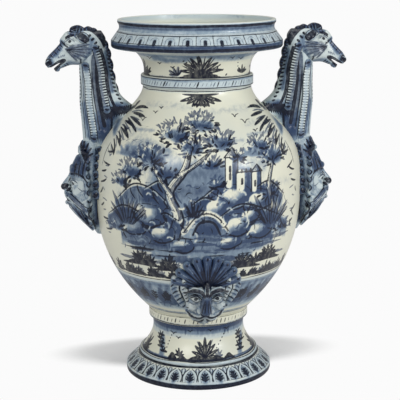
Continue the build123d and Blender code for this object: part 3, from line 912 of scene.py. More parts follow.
def band_piece():
    """The raised band at the root of the neck, with slanting dashes."""
    outer = join(
        [(76, 427)], [(79.5, 427)], arc((79.5, 428.5), 1.5, -90, 0, 5), arc((79.5, 440.5), 1.5, 0, 90, 5),
        [(76, 442)]
    )
    piece = Turned(walk(outer, 0.8), [(76, 441), (76, 428)], columns(81, 1.1, 2.0))
    view = piece.round_view(81, 0.9)
    bands(
        view, ("cool", 434, 16, 0.95), ("dark", 440.6, 1.3, 0.9), ("tone", 440, 4, 0.35),
        ("dark", 429.2, 1.2, 0.95), ("tone", 434, 12, 0.1)
    )
    for k in range(88):
        u = -254 + k * 5.75 + rng.uniform(-1.2, 1.2)
        bold = rng.choice([0.6, 0.7, 0.8, 0.95], p=[0.35, 0.3, 0.2, 0.15])
        lean = rng.uniform(2.5, 4.5)
        view.stroke(
            [(u, 431), (u + lean, 438)], rng.uniform(1.4, 2.2), "mid" if bold < 0.9 else "dark", (0.6, 0.4),
            bold
        )
    piece.build("painted_neck_band", ["neck_band"], banded)


def neck():
    """The waisted neck, with its large tuft."""
    outer = join([(76.5, NECK_LOW)], curve_of(neck_radius, NECK_LOW, NECK_TOP))
    inner = curve_of(neck_radius, NECK_LOW, NECK_TOP, NECK_WALL)[::-1]
    inner = join(walk(inner, 8), [(68.5, SHOULDER_TOP), (76, SHOULDER_TOP), (76, NECK_LOW)])
    piece = Turned(crisp(walk(outer, 1.1)), inner, columns(78, 1.1, 2.2, 88))
    ring = piece.round_view(78, 1.6)
    bands(
        ring, ("tone", 474, 9, 0.45), ("dark", 442.6, 1.4, 0.9), ("cool", 470, 12, 0.6), ("tone", 443, 3, 0.3)
    )
    view = piece.front_view(0.8)
    view.wash([(-60, 470), (-35, 467), (-8, 470)], 9, 0.5)
    view.wash([(20, 471), (50, 469), (64, 470)], 8, 0.4)
    leaves = ((-2, 26.25), (-28, 27.3), (25, 27.3), (-53, 28.35), (50, 28.35), (-76, 29.4), (74, 29.4))
    fan(view, (6, 449), leaves, 5.6, curl=0.12)
    leaves = ((-14, 30), (12, 30), (-41, 31), (38, 31), (-64, 31), (62, 31))
    fan(view, (6, 447), leaves, 1.4, rib=False)
    for level, half, x in ((443.6, 28, 4), (446.0, 23, 5), (448.6, 15, 6)):
        view.stroke([(x - half, level), (x, level + 0.8), (x + half, level)], 4.4, "dark", (0.3, 0.3))
    for x, z in ((-15, 464), (-19, 466), (28, 457), (31, 460), (35, 453), (40, 446)):
        view.stroke([(x, z), (x + 1.4, z + 1.4)], 1.8, "dark", (1, 0.6))
    for angle, length in ((-62, 14), (-30, 12), (5, 13), (35, 10), (-85, 12)):
        leaf(view, (-27, 446), angle, length, 4.2, "mid")
        leaf(view, (-27, 446), angle + 6, length, 1.4, "dark", rib=False)
    tuft(view, (63, 447), 12, 5, 50, "dark", 3.2)
    tuft(view, (-70, 446), 12, 5, 50, "dark", 3.2)
    dots(view, (57, 452), (57, 462), 3, 1.6)
    for x, z, s in ((-66, 469, 4.5), (-34, 457, 3.5), (49, 470, 4), (61, 468, 4), (-52, 462, 3)):
        bird(view, (x, z), s, rng.choice([-1, 1]))
    back = piece.round_view(78, 0.9)
    for u in (-190, -150, 150, 190, -110, 110):
        tuft(back, (u, 446), 24, 7, 80, "dark", 5.0)
        back.stroke([(u - 20, 443.6), (u, 445), (u + 20, 443.6)], 4, "dark", (0.3, 0.3))
    piece.build("painted_neck", ["jar_neck"], thrown)


def flange():
    """The sloping flange of the rim, with its border of keyholes."""
    outer = join(
        [(90, NECK_TOP)],
        [(115.5, 479.3)],
        arc((119.8, 483.3), 3.2, -80, 0, 7),
        arc((119.8, 489.6), 3.2, 0, 54, 6),
        [(113.5, FLANGE_TOP)],
    )
    funnel = bezier((107.8, FLANGE_TOP), (107.8, 493), (84, 486), (77.3, NECK_TOP))
    inner = join([(107.8, FLANGE_TOP)], walk(funnel, 4), [(77.4, NECK_TOP)])
    piece = Turned(crisp(walk(outer, 1.0)), inner, columns(120, 1.2, 2.2))
    view = piece.round_view(118, 0.9)
    line_z = piece.line[: piece.painted, 1]
    edge = float(np.interp(490.6, line_z, piece.length))
    top = piece.length[-1]
    along = piece.round_view(118, 0.9, True)
    bands(
        along, ("cool", (edge + top) / 2, 24, 1.0), ("tone", (edge + top) / 2, 20, 0.16),
        ("dark", top - 0.9, 1.4, 0.85), ("dark", edge + 0.2, 1.0, 0.95)
    )
    bands(
        view, ("mid", 487.8, 3.4, 0.62), ("dark", 483.6, 4.4, 0.86), ("tone", 485, 10, 0.75),
        ("tone", 478, 6, 0.42), ("mid", 480.8, 1.6, 0.8)
    )
    cell = piece.cells(32, 118, 0.8, jitter=0.45)
    wall = piece.cells(32, 118, 0.8, jitter=0.2, offset=0.5)
    wall.stroke([(0, edge + 1), (0, top - 1)], 1.15, "dark", (1, 1), 0.85)
    keyhole = ((-6.6, 0.8), (-6.4, 7.5), (-4.2, 10.8), (0, 12.0), (4.2, 10.8), (6.4, 7.5), (6.6, 0.8))
    cell.stroke([(x, edge + y) for x, y in keyhole], 1.3, "mid", (1, 1), 0.72)
    cell.wash([(0, edge + 2), (0, edge + 8)], 4.6, 0.30)
    cell.stroke([(0, edge + 1.2), (0, edge + 6.2)], 4.7, "dark", (1, 1))
    cell.stroke([(-3.4, edge + 8.0), (0, edge + 10.2), (3.4, edge + 8.0)], 0.9, "mid", (0.6, 0.6), 0.5)
    piece.build("painted_flange", ["rim_flange"], banded)


def bezier(a, b, c, d):
    """Points on a curve from a to d, drawn by the handles b and c."""
    t = np.linspace(0, 1, 40)[:, None]
    a, b, c, d = (np.asarray(p, float) for p in (a, b, c, d))
    return a * (1 - t) ** 3 + 3 * b * t * (1 - t) ** 2 + 3 * c * t * t * (1 - t) + d * t**3


def lip():
    """The upright lip."""
    hollow = circle_through((113.5, FLANGE_TOP), (111, 508), (113.3, 515.5))
    outer = join(
        hollow,
        arc((111.8, 518.5), 1.5, 0, 90, 5),
        arc((109.3, 518.5), 1.5, 90, 180, 5),
    )
    piece = Turned(walk(outer, 0.85), [(107.8, 510), (107.8, FLANGE_TOP)], columns(113, 1.2, 2.2))
    view = piece.round_view(113, 0.9)
    bands(
        view, ("cool", 510, 22, 1.0), ("tone", 509, 8, 0.36), ("dark", 515.4, 3.8, 1.0),
        ("tone", 514, 8, 0.6), ("mid", 504.4, 1.2, 0.7), ("mid", 512.2, 1.0, 0.5)
    )
    piece.build("painted_lip", ["mouth_lip"], banded)


def circle_through(a, b, c):
    """Points on the arc from a through b to c."""
    (ax, ay), (bx, by), (cx, cy) = a, b, c
    d = 2 * (ax * (by - cy) + bx * (cy - ay) + cx * (ay - by))
    aa, bb, cc = ax * ax + ay * ay, bx * bx + by * by, cx * cx + cy * cy
    ux = (aa * (by - cy) + bb * (cy - ay) + cc * (ay - by)) / d
    uy = (aa * (cx - bx) + bb * (ax - cx) + cc * (bx - ax)) / d
    start = math.atan2(ay - uy, ax - ux)
    stop = math.atan2(cy - uy, cx - ux)
    start, stop = (a + 2 * math.pi if a < 0 else a for a in (start, stop))
    radius = math.hypot(ax - ux, ay - uy)
    t = np.linspace(start, stop, 9)
    return np.stack([ux + radius * np.cos(t), uy + radius * np.sin(t)], 1)


standing_foot()
foot_bead()
stem()
collar()
band_piece()
neck()
flange()
lip()

# The belly and its landscape.

belly_columns = columns(BELLY, 1.15, 3.2)
bowl_inside = curve_of(bowl_radius, BOWL_LOW + 1, SEAM, BELLY_WALL)[::-1]
bowl = Turned(
    crisp(walk(curve_of(bowl_radius, BOWL_LOW, SEAM), 1.6)),
    join(walk(bowl_inside, 9), [(0, BOWL_LOW + 1), (0, STEM_TOP), (65, STEM_TOP), (65, BOWL_LOW)]),
    belly_columns,
)
shoulder_inside = curve_of(shoulder_radius, SEAM, SHOULDER_TOP, BELLY_WALL)[::-1]
shoulder = Turned(
    crisp(walk(curve_of(shoulder_radius, SEAM, SHOULDER_TOP), 1.25)),
    walk(shoulder_inside, 9),
    belly_columns,
)


def ring_points(x, z, w, h, start=0.0, stop=360.0, rough=0.04, count=14, seed=0.0):
    """Points on an uneven oval."""
    a = np.radians(np.linspace(start, stop, count))
    r = 1 + rough * (np.sin(3 * a + seed) + 0.7 * np.sin(5 * a + 2 * seed))
    return np.stack([x + w / 2 * r * np.cos(a), z + h / 2 * r * np.sin(a)], 1)


def rock(view, x, z, w, h, tone):
    """A boulder: lit at the upper left, washed and hatched round its lower right."""
    seed = rng.uniform(0, 6)
    rim = ring_points(x, z, w, h, seed=seed, rough=0.05, count=18)
    view.lift([(x - 0.15 * w, z), (x + 0.15 * w, z)], min(w, h) * 0.62, 0.9)
    view.wash(ring_points(x, z, w * 0.74, h * 0.74, -120, 40, seed=seed), min(w, h) * 0.42, tone)
    view.wash([(x + 0.1 * w, z - 0.2 * h), (x + 0.3 * w, z - 0.05 * h)], min(w, h) * 0.4, tone * 0.8)
    for k in range(int(w / 3.2)):
        share = 0.42 + 0.5 * k / max(1, int(w / 3.2))
        view.stroke(
            ring_points(x - 0.02 * w, z, w * share, h * share, -95 + 4 * k, 5 + 5 * k, seed=seed, count=6),
            rng.uniform(1.1, 2.4), "mid", (0.2, 0.2), rng.uniform(0.6, 0.95)
        )
    view.stroke(rim[:7], 1.3, "dark", (0.3, 0.8), 0.85)
    view.stroke(rim[6:13], 1.1, "mid", (0.8, 0.8), 0.9)
    view.stroke(rim[11:], 2.2, "dark", (0.5, 0.3))


def foliage(view, x, z, w, h, weight=1.0):
    """A clump of leaves: pale dabs above, dense dark dabs below and to the right."""
    view.wash([(x - 0.18 * w, z), (x + 0.2 * w, z - 0.08 * h)], min(w, h) * 0.5, 0.62 * weight)
    view.wash([(x + 0.05 * w, z - 0.22 * h), (x + 0.28 * w, z - 0.12 * h)], min(w, h) * 0.36, 0.6 * weight)
    count = int(w * h / 13)
    for _ in range(count):
        a, r = rng.uniform(0, 2 * math.pi), math.sqrt(rng.uniform(0.02, 1))
        px, pz = x + w / 2 * r * math.cos(a), z + h / 2 * r * math.sin(a)
        low_right = (math.cos(a) * 0.5 - math.sin(a)) * r
        heading = math.degrees(math.atan2(px - x, pz - z + 0.3 * h)) + rng.uniform(-35, 35)
        heavy = rng.uniform(0, 1) + 0.5 * low_right
        layer = "dark" if heavy > 0.74 else "mid"
        leaf(
            view, (px, pz), heading, rng.uniform(4.0, 8.0), rng.uniform(1.8, 3.2), layer,
            bend=rng.uniform(-0.3, 0.3), rib=False
        )
    for _ in range(int(count * 0.16)):
        a, r = rng.uniform(0.4 * math.pi, 1.25 * math.pi), math.sqrt(rng.uniform(0.1, 0.8))
        px, pz = x + w / 2 * r * math.cos(a), z + h / 2 * r * math.sin(a)
        view.lift([(px, pz), (px + rng.uniform(-3, 3), pz + rng.uniform(1, 3.5))], 1.3, 0.8)


def cloud(view, x, z, w, h):
    """Rolled puffs with a soft blue underside."""
    for k in range(5):
        px = x + w * (k / 4 - 0.5) * 0.8
        size = h * (1.0 - 0.35 * abs(k - 2) / 2) * rng.uniform(0.85, 1.1)
        view.wash(
            ring_points(px, z - 0.05 * size, size * 0.75, size * 0.7, 190, 350, count=6), size * 0.34, 0.5
        )
        view.stroke(
            ring_points(px, z, size, size, 15, 175, rough=0.03, count=7), 1.2, "mid", (0.2, 0.2), 0.75
        )
        view.stroke(
            ring_points(px + 0.1 * size, z - 0.12 * size, size * 0.5, size * 0.42, 20, 230, count=7), 1.0,
            "mid", (0.2, 0.2), 0.65
        )
    view.wash([(x - 0.5 * w, z - 0.42 * h), (x, z - 0.5 * h), (x + 0.5 * w, z - 0.42 * h)], h * 0.24, 0.5)


def bank(view, ridge, depth, tone=0.6):
    """A fold of ground: an inked ridge, with curved hatching and wash falling away below it."""
    line = flow(ridge)
    for share, power in ((0.25, 1.0), (0.55, 0.8), (0.85, 0.5)):
        view.wash(line[::3] - np.array([0, depth * share]), depth * 0.34, tone * power)
    lean = math.tan(math.radians(26))
    for p in line[::2]:
        fall = depth * rng.uniform(0.45, 1.0)
        layer = "dark" if rng.uniform() < 0.34 else "mid"
        middle = p + np.array([lean * fall * 0.25, -fall * 0.5])
        view.stroke(
            [p, middle, p + np.array([lean * fall, -fall])], rng.uniform(1.2, 3.0), layer, (0.7, 0.15),
            rng.uniform(0.7, 1.0)
        )
    view.lift(line - np.array([0, 1.8]), 1.6, 0.7)
    view.stroke(line, 2.2, "dark", (0.3, 0.3), 0.95)


def reeds(view, x, z, w, h, count):
    """Sword-like leaves standing in a clump."""
    view.wash([(x - 0.25 * w, z + 0.15 * h), (x + 0.25 * w, z + 0.15 * h)], h * 0.42, 0.55)
    for k in range(count):
        share = 2 * k / (count - 1) - 1
        foot = x + share * w * 0.22
        length = h * (1 - 0.42 * share * share) * rng.uniform(0.82, 1.08)
        lean = share * 34 + rng.uniform(-5, 5)
        bend = 0.12 * share
        leaf(view, (foot, z), lean, length, rng.uniform(4.4, 6.4), "mid", bend, False)
        leaf(view, (foot + 1.5, z), lean + 1.5, length * 0.9, 1.7, "dark", bend, False)
        if k % 2:
            leaf(view, (foot - 1.2, z + 3), lean - 1.5, length * 0.75, 1.2, "dark", bend, False)


def ground(view, x0, x1, z, depth, count, strength):
    """Level brush strokes of earth and water."""
    for _ in range(count):
        length = rng.uniform(14, 46)
        x = rng.uniform(x0, x1 - length * 0.6)
        level = z - depth * rng.uniform(0, 1)
        width = rng.uniform(1.6, 6.0)
        if rng.uniform() < 0.7:
            layer, power = "mid", rng.uniform(0.5, 0.95) * strength
        else:
            layer, power, width = "dark", rng.uniform(0.4, 0.8) * strength, width * 0.5
        middle = (x + length * 0.5, level + rng.uniform(-1.5, 1.5))
        end = (x + length, level + rng.uniform(-1, 1))
        view.stroke([(x, level), middle, end], width, layer, (0.2, 0.1), power)


def trunk(view, points, widths):
    """A bent tree trunk with bark strokes down its shaded side."""
    line = flow(points)
    t = np.linspace(0, 1, len(line))
    w = np.interp(t, np.linspace(0, 1, len(widths)), widths)
    side = sides(line)
    view.lift(line, w.mean() * 0.7, 0.9)
    for offset, width, layer, power in (
        (0.15, 0.5, "mid", 0.55), (0.34, 0.34, "mid", 0.85), (0.45, 0.22, "dark", 0.9),
        (-0.48, 0.1, "dark", 0.9), (0.02, 0.08, "dark", 0.6), (-0.2, 0.08, "mid", 0.8)
    ):
        view.stroke(line + side * (w * offset)[:, None], max(1.1, w.mean() * width), layer, (0.9, 0.5), power)
    for _ in range(len(line) // 2):
        j = rng.integers(1, len(line) - 1)
        a = line[j] + side[j] * w[j] * rng.uniform(-0.3, 0.4)
        view.stroke(
            [a, a + (line[j] - line[j - 1]) * 1.2 + rng.uniform(-1, 1, 2)], 1.2, "dark", (0.3, 0.3), 0.8
        )


def tower(view, x, z, w, h, roof, doors):
    """A small building with a shaded side, dark openings and a pointed roof."""
    view.lift([(x - 0.2 * w, z + 0.1 * h), (x - 0.2 * w, z + 0.9 * h)], w * 0.55, 0.95)
    view.wash([(x + 0.26 * w, z), (x + 0.26 * w, z + h)], w * 0.36, 0.75)
    for k in range(6):
        px = x + w * (0.08 + 0.07 * k)
        view.stroke([(px, z + rng.uniform(0, 4)), (px, z + h - 1)], 1.5, "mid", (0.8, 0.6), 0.6 + 0.05 * k)
    view.stroke([(x - w / 2, z), (x - w / 2, z + h)], 1.3, "dark", (1, 1), 0.9)
    view.stroke([(x + w / 2, z), (x + w / 2, z + h)], 1.7, "dark", (1, 1), 0.95)
    view.stroke([(x - w / 2, z + h), (x + w / 2, z + h)], 1.4, "dark", (1, 1), 0.95)
    if roof:
        peak = (x + 0.05 * w, z + h + 0.75 * w)
        for share in np.linspace(-0.5, 0.6, 8):
            view.stroke(
                [(x + w * share, z + h), peak], 2.0 if share > 0 else 1.2, "mid" if share < 0.35 else "dark",
                (1, 0.5), 0.75
            )
        view.stroke([(x - 0.6 * w, z + h), peak], 1.4, "dark", (1, 0.6))
        view.stroke([(x + 0.62 * w, z + h), peak], 1.9, "dark", (1, 0.6))
    else:
        for share in (-0.42, -0.14, 0.14, 0.42):
            view.stroke([(x + w * share, z + h), (x + w * share, z + h + 3)], 3.0, "dark", (1, 1), 0.9)
    for level in np.linspace(0.3, 0.8, doors + 1)[:doors]:
        view.stroke([(x - 0.12 * w, z + h * level), (x - 0.12 * w, z + h * level + 6)], 3.2, "dark", (1, 1))


def arch_bridge(view, x, z, w, h):
    """A low stone bridge over water."""
    over = [(x + p * w, z + q * h) for p, q in ((-0.5, 0), (-0.25, 0.75), (0, 1), (0.25, 0.75), (0.5, 0))]
    under = [(x + p * w, z + q * h) for p, q in ((-0.18, 0.42), (0, 0.58), (0.18, 0.42))]
    under = [(x - 0.3 * w, z - 4)] + under + [(x + 0.3 * w, z - 4)]
    view.lift(over, h * 0.3, 0.9)
    view.wash([(x - 0.12 * w, z), (x + 0.14 * w, z)], h * 0.55, 0.9)
    view.stroke(
        [(x - 0.2 * w, z + 1), (x, z + 0.3 * h), (x + 0.2 * w, z + 1)], h * 0.5, "mid", (0.5, 0.5), 0.8
    )
    view.stroke(under, 3.2, "dark", (0.8, 0.8))
    view.stroke(over, 1.8, "dark", (0.7, 0.7))
    for k in range(9):
        t = k / 8
        a = np.array([x + w * (t - 0.5) * 0.72, z + h * (0.66 + 0.26 * math.sin(math.pi * t))])
        view.stroke([a, a + np.array([(t - 0.5) * 4, h * 0.2])], 1.1, "mid", (0.7, 0.7), 0.8)


def sky(view):
    """Clouds, and the pale washes behind everything."""
    view.wash([(-70, 330), (-20, 335), (40, 325), (90, 330)], 26, 0.30)
    view.wash([(-60, 300), (0, 300), (80, 295)], 30, 0.34)
    view.wash([(-95, 352), (-70, 358), (-40, 350)], 14, 0.35)
    for z, a, b in ((377, -88, -60), (371, 70, 110), (365, 30, 62), (345, -112, -84)):
        view.stroke([(a, z), ((a + b) / 2, z + 1.5), (b, z)], 1.6, "mid", (0.1, 0.1), 0.6)
        view.wash([(a, z - 3), (b, z - 3)], 6, 0.3)
    for x, z, length in (
        (-70, 404, 60), (20, 398, 80), (-96, 366, 30), (70, 380, 50), (-110, 290, 20), (104, 300, 26)
    ):
        view.wash([(x, z), (x + length / 2, z + 2), (x + length, z - 1)], 13, 0.16)
    cloud(view, -82, 352, 46, 22)
    cloud(view, 84, 352, 40, 19)
    for level in range(5):
        view.wash(
            [(-74 + 6 * level, 222 + 24 * level), (0, 226 + 24 * level), (84 - 7 * level, 222 + 24 * level)],
            22, 0.55
        )
    for _ in range(60):
        x, z = rng.uniform(-92, 92), rng.uniform(232, 338)
        view.stroke(
            [(x, z), (x + 7, z + 1.5), (x + 14, z + 1)], rng.uniform(1.4, 3.4), "mid", (0.2, 0.1),
            rng.uniform(0.3, 0.7)
        )


def far_hills(view):
    """Hills and folds of ground in the distance."""
    for x, z, w, h, t in ((-70, 292, 62, 40, 0.45), (92, 290, 50, 34, 0.45), (62, 300, 60, 52, 0.5)):
        view.stroke(ring_points(x, z - h * 0.3, w, h * 1.2, 165, 15, count=9), 1.5, "mid", (0.4, 0.4), 0.85)
        view.wash([(x - 0.2 * w, z - 0.2 * h), (x + 0.25 * w, z - 0.2 * h)], h * 0.5, t)
        for k in range(7):
            px = x + w * (k / 6 - 0.45) * 0.75
            view.stroke(
                [(px, z + 0.12 * h), (px + 4, z - 0.15 * h), (px + 3, z - 0.45 * h)], 1.8, "mid", (0.3, 0.2),
                0.7
            )
    for ridge, depth in (
        ([(-112, 280), (-88, 304), (-62, 300), (-42, 284)], 26),
        ([(-72, 300), (-50, 312), (-30, 300)], 22),
        ([(6, 290), (26, 304), (46, 300)], 20),
        ([(74, 296), (98, 306), (120, 284)], 26),
        ([(-8, 280), (10, 290), (34, 280)], 20),
    ):
        bank(view, ridge, depth)


def crag(view):
    """Three towers on their rocks."""
    rock(view, 52, 290, 44, 34, 0.75)
    rock(view, 84, 282, 40, 30, 0.7)
    rock(view, 26, 276, 34, 30, 0.75)
    tower(view, 46, 302, 17, 40, True, 2)
    tower(view, 63, 300, 22, 22, False, 1)
    tower(view, 80, 294, 13, 27, True, 1)
    foliage(view, 98, 292, 26, 22)
    foliage(view, 28, 306, 20, 18)


def trees(view):
    """The great tree, the ground that it stands on, and the smaller trees."""
    trunk(view, [(-34, 232), (-26, 262), (-38, 296), (-18, 326), (-10, 352)], [19, 14, 12, 10, 6])
    trunk(view, [(-36, 292), (-52, 316), (-62, 336)], [8, 6, 4])
    trunk(view, [(-20, 322), (4, 338), (18, 350)], [7, 5, 3])
    for x, z, w, h in (
        (-62, 342, 42, 28), (-30, 372, 48, 30), (4, 384, 44, 26), (30, 362, 40, 28), (-8, 356, 38, 24),
        (-44, 322, 30, 18), (18, 334, 28, 16)
    ):
        foliage(view, x, z, w, h, weight=1.1)
    for ridge, depth in (
        ([(-124, 256), (-104, 272), (-80, 266), (-56, 250)], 26),
        ([(-58, 258), (-44, 268), (-24, 256)], 24),
        ([(28, 262), (56, 278), (84, 272), (122, 250)], 30),
        ([(-18, 262), (6, 272), (30, 264)], 14),
        ([(-104, 236), (-76, 248), (-40, 238)], 22),
        ([(38, 238), (72, 248), (108, 234)], 20),
    ):
        bank(view, ridge, depth, 0.75)
    trunk(view, [(104, 268), (98, 300), (104, 334)], [9, 6, 4])
    for x, z, w, h in (
        (104, 340, 34, 30), (84, 356, 30, 20), (-92, 322, 32, 26), (-106, 306, 24, 18), (56, 342, 22, 14)
    ):
        foliage(view, x, z, w, h, weight=1.2)


def near_rocks(view):
    """The bridge and the boulders in front."""
    arch_bridge(view, 12, 242, 62, 26)
    for x, z, w, h, t in (
        (-66, 262, 44, 34, 0.75), (-88, 244, 34, 24, 0.65), (-50, 238, 40, 26, 0.8), (56, 250, 42, 32, 0.8),
        (84, 240, 38, 26, 0.7), (70, 262, 30, 20, 0.7), (-22, 222, 34, 22, 0.75), (42, 226, 34, 20, 0.7)
    ):
        rock(view, x, z, w, h, t)


def modelling(view):
    """Small strokes that model every form, and the lights between them."""
    for _ in range(230):
        x, z = rng.uniform(-108, 116), rng.uniform(212, 312)
        if abs(x) > 60 + 0.5 * (312 - z):
            continue
        size, turn = rng.uniform(5, 13), rng.uniform(-150, 60)
        curve = ring_points(x, z, size, size * 1.3, turn, turn + rng.uniform(70, 130), rough=0.02, count=5)
        pick = rng.uniform()
        if pick < 0.45:
            view.stroke(curve, rng.uniform(1.0, 1.7), "dark", (0.1, 0.1), rng.uniform(0.7, 0.95))
        elif pick < 0.75:
            view.stroke(curve, rng.uniform(1.6, 3.4), "mid", (0.1, 0.1), rng.uniform(0.7, 1))
        else:
            view.lift(curve, rng.uniform(1.4, 2.8), rng.uniform(0.6, 0.9))


def shore(view):
    """Reeds, bushes, water, grass and birds."""
    reeds(view, -98, 246, 34, 50, 9)
    reeds(view, 100, 244, 34, 54, 9)
    reeds(view, -6, 262, 22, 26, 7)
    foliage(view, -112, 240, 22, 16)
    foliage(view, 118, 238, 22, 16)
    ground(view, -118, 124, 236, 22, 46, 0.85)
    ground(view, -112, 116, 216, 20, 44, 0.95)
    ground(view, -80, 90, 200, 10, 20, 0.8)
    view.wash([(-90, 222), (-20, 214), (40, 214), (100, 222)], 16, 0.5)
    view.wash([(-60, 203), (0, 200), (70, 204)], 10, 0.55)
    for x, w in ((-78, 54), (-40, 40), (62, 50), (98, 34)):
        mound(view, (x, 181 + 0.0011 * x * x), w, 11)
        tuft(view, (x, 186 + 0.0011 * x * x), 20, 9, 72, "dark", 4.4)
    for x, z, s in (
        (-84, 204, 15), (-66, 197, 16), (-48, 192, 14), (60, 194, 15), (80, 198, 17), (96, 204, 13),
        (40, 196, 12), (-30, 196, 11)
    ):
        tuft(view, (x, z - 8), s, 7, 68, "dark" if rng.uniform() < 0.6 else "mid", s * 0.2)
    for x, z, s, f in (
        (-76, 386, 6, 1), (-58, 396, 4, 1), (52, 392, 5.5, -1), (66, 384, 7, -1), (80, 372, 4, 1),
        (-98, 372, 4, -1), (-50, 402, 3.5, 1)
    ):
        bird(view, (x, z), s, f)


def landscape(view):
    """A river landscape, painted from back to front."""
    for part in (sky, far_hills, crag, trees, near_rocks, modelling, shore):
        part(view)


# Leaf strokes round a handle's root: aside, height, angle, length, width.
ROOT_LEAVES = (
    (84, 396, 60, 15, 3.4), (86, 391, 85, 15, 4.2), (90, 386, 105, 16, 4.6), (94, 384, 125, 17, 4.4),
    (86, 396, 30, 12, 2.6), (98, 380, 95, 13, 4.0), (100, 376, 140, 15, 4.2), (104, 372, 120, 14, 3.8),
    (106, 368, 160, 15, 3.6), (110, 362, 140, 12, 3.2), (113, 358, 165, 16, 3.0), (117, 350, 150, 12, 2.8),
    (78, 399, 75, 12, 2.4), (92, 393, 45, 10, 2.4),
)


def scene_on(view, ring):
    """Everything that is painted on the belly; the same strokes go on both halves."""
    landscape(view)
    # Tuft hanging from the neck lines.
    leaves = (
        (180, 11), (160, 13), (201, 13), (140, 15), (221, 15), (120, 18), (241, 18), (106, 24), (255, 24)
    )
    fan(view, (5, 419), [(angle, length * 1.25) for angle, length in leaves], 5.4)
    view.stroke([(-20, 420.6), (5, 419.4), (30, 420.6)], 3.4, "dark", (0.3, 0.3))
    fan(view, (5, 419), ((150, 17), (212, 17), (172, 14), (190, 14)), 1.5, rib=False)
    bands(ring, ("dark", 424.2, 1.2, 0.95), ("cool", 425, 5, 0.6), ("mid", 421.9, 0.9, 0.55))
    # Leaf strokes round the handle roots and beside the masks.
    for sign, middle in ((-1, -4), (1, 6)):
        for x, z, angle, length, width in ROOT_LEAVES:
            leaf(
                view, (sign * x + middle, z), sign * -angle, length * 1.15, width * 1.3, "dark",
                bend=-0.2 * sign, rib=False
            )
            leaf(
                view, (sign * (x + 5) + middle, z - 5), sign * -angle, length, width * 0.7, "mid",
                bend=-0.2 * sign, rib=False
            )
        view.wash(
            [(sign * 100 + middle, 394), (sign * 106 + middle, 382), (sign * 114 + middle, 366)], 14, 0.7
        )
        for x, z in (
            (122, 340), (128, 326), (131, 312), (133, 296), (134, 280), (133, 262), (130, 246), (126, 230)
        ):
            leaf(
                view, (sign * x + middle, z), sign * -rng.uniform(20, 150), rng.uniform(7, 12), 2.6, "dark",
                bend=0.3 * sign, rib=False
            )
            leaf(
                view, (sign * (x - 3) + middle, z - 5), sign * -rng.uniform(20, 150), rng.uniform(5, 9), 1.9,
                "mid", rib=False
            )
        view.stroke(
            [(sign * 118 + middle, 352), (sign * 126 + middle, 336), (sign * 131 + middle, 318)], 1.3, "dark",
            (0.3, 0.3), 0.9
        )
    # Dark earth over the line, and its grass.
    for _ in range(56):
        u = rng.uniform(-150, 150)
        if abs(u - 8) < 44:
            continue
        heap = [(u - 12, 170), (u, 171 + rng.uniform(0.5, 3)), (u + 12, 170)]
        ring.stroke(heap, rng.uniform(4, 7), "dark", (0.2, 0.2), rng.uniform(0.7, 1))
        tuft(ring, (u, 172), rng.uniform(9, 17), 5, 55, rng.choice(["dark", "mid"]), 2.8)
    bands(ring, ("dark", 166.2, 1.5, 0.95), ("cool", 163, 5, 0.8))
    ring.lift([(-480, 163.6), (0, 163.6), (480, 163.6)], 2.4, 1.0)
    # Lower band with sprays.
    bands(
        ring, ("tone", 150, 22, 0.36), ("tone", 132, 26, 0.4), ("cool", 135, 60, 0.9),
        ("mid", 160.8, 1.2, 0.8), ("tone", 158, 7, 0.3)
    )
    for k in range(51):
        u = -465 + 18.5 * k + rng.uniform(-4, 4)
        spray(ring, (u, 118 + rng.uniform(0, 6)), rng.uniform(26, 36), rng.uniform(-30, 40), "mid", 5)
        spray(ring, (u + 8, 128), rng.uniform(16, 24), rng.uniform(-50, 60), "dark", 3)
        ring.wash([(u, 120), (u + 5, 142)], 11, 0.45)
        ring.wash([(u + 9, 150), (u + 12, 155)], 6, 0.5)
    bands(ring, ("dark", 104.6, 1.2, 0.95), ("tone", 107, 5, 0.4))
    ring.lift([(-480, 101.4), (0, 101.4), (480, 101.4)], 3.6, 1.0)
    # Tufts go on round the back.
    for k in range(18):
        u = 165 + 36 * k
        tuft(ring, (u if u < 471 else u - 942, 170), 19, 7, 70, "dark", 4.6)


# Both halves start from the same seed, so that the picture runs on over the seam.
for half in (bowl, shoulder):
    rng = np.random.default_rng(23)
    scene_on(half.front_view(0.85), half.round_view(BELLY, 0.9))

bowl.build("painted_bowl", ["belly_bowl"], thrown)
shoulder.build("painted_shoulder", ["belly_shoulder"], thrown)

# Modelled handles and masks.


def finish_clay(clay, name, node, draw, dip_blue_and_shade, base, size=2, mirrored=True):
    """Skins the clay, paints it and makes the piece, and its mirror image on the left.

    The blue wash grows deeper in the dips, partly as cobalt pooled there and partly as painted shade: its
    strength there comes first, then base, its strength all over, and size, the reach of the dips in grid
    steps.
    """
    points, faces = clay.skin()
    paint = Paint(len(points))
    dip = clay.hollow(points, size)
    # Painted shade: the blue wash is deeper in the dips, over the cobalt pooled there.
    paint.tone = base + dip_blue_and_shade * np.clip((dip - 0.15) / 1.3, 0, 1)
    draw(paint, points)
    if not mirrored:
        new_piece(name, points, faces.tolist(), [node], paint, modelled)
        return
    for side, sign in (("right", 1), ("left", -1)):
        kept = points * np.array([sign, 1, 1])
        turned = faces if sign > 0 else faces[:, ::-1]
        new_piece(f"{name}_{side}", kept, turned.tolist(), [f"{side}_{node}"], paint, modelled)


def flat_view(paint, points, soft=0.75, flip=1):
    """A drawing plane across x and up, for the sides of the handles and for the front; flip -1 mirrors it."""
    return View(paint, flip * points[:, 0], points[:, 2], soft=soft)


def both(*places):
    """The same points on both sides of the handle's middle plane."""
    for sign in (-1, 1):
        yield [(x, sign * y, z) for x, y, z in places]


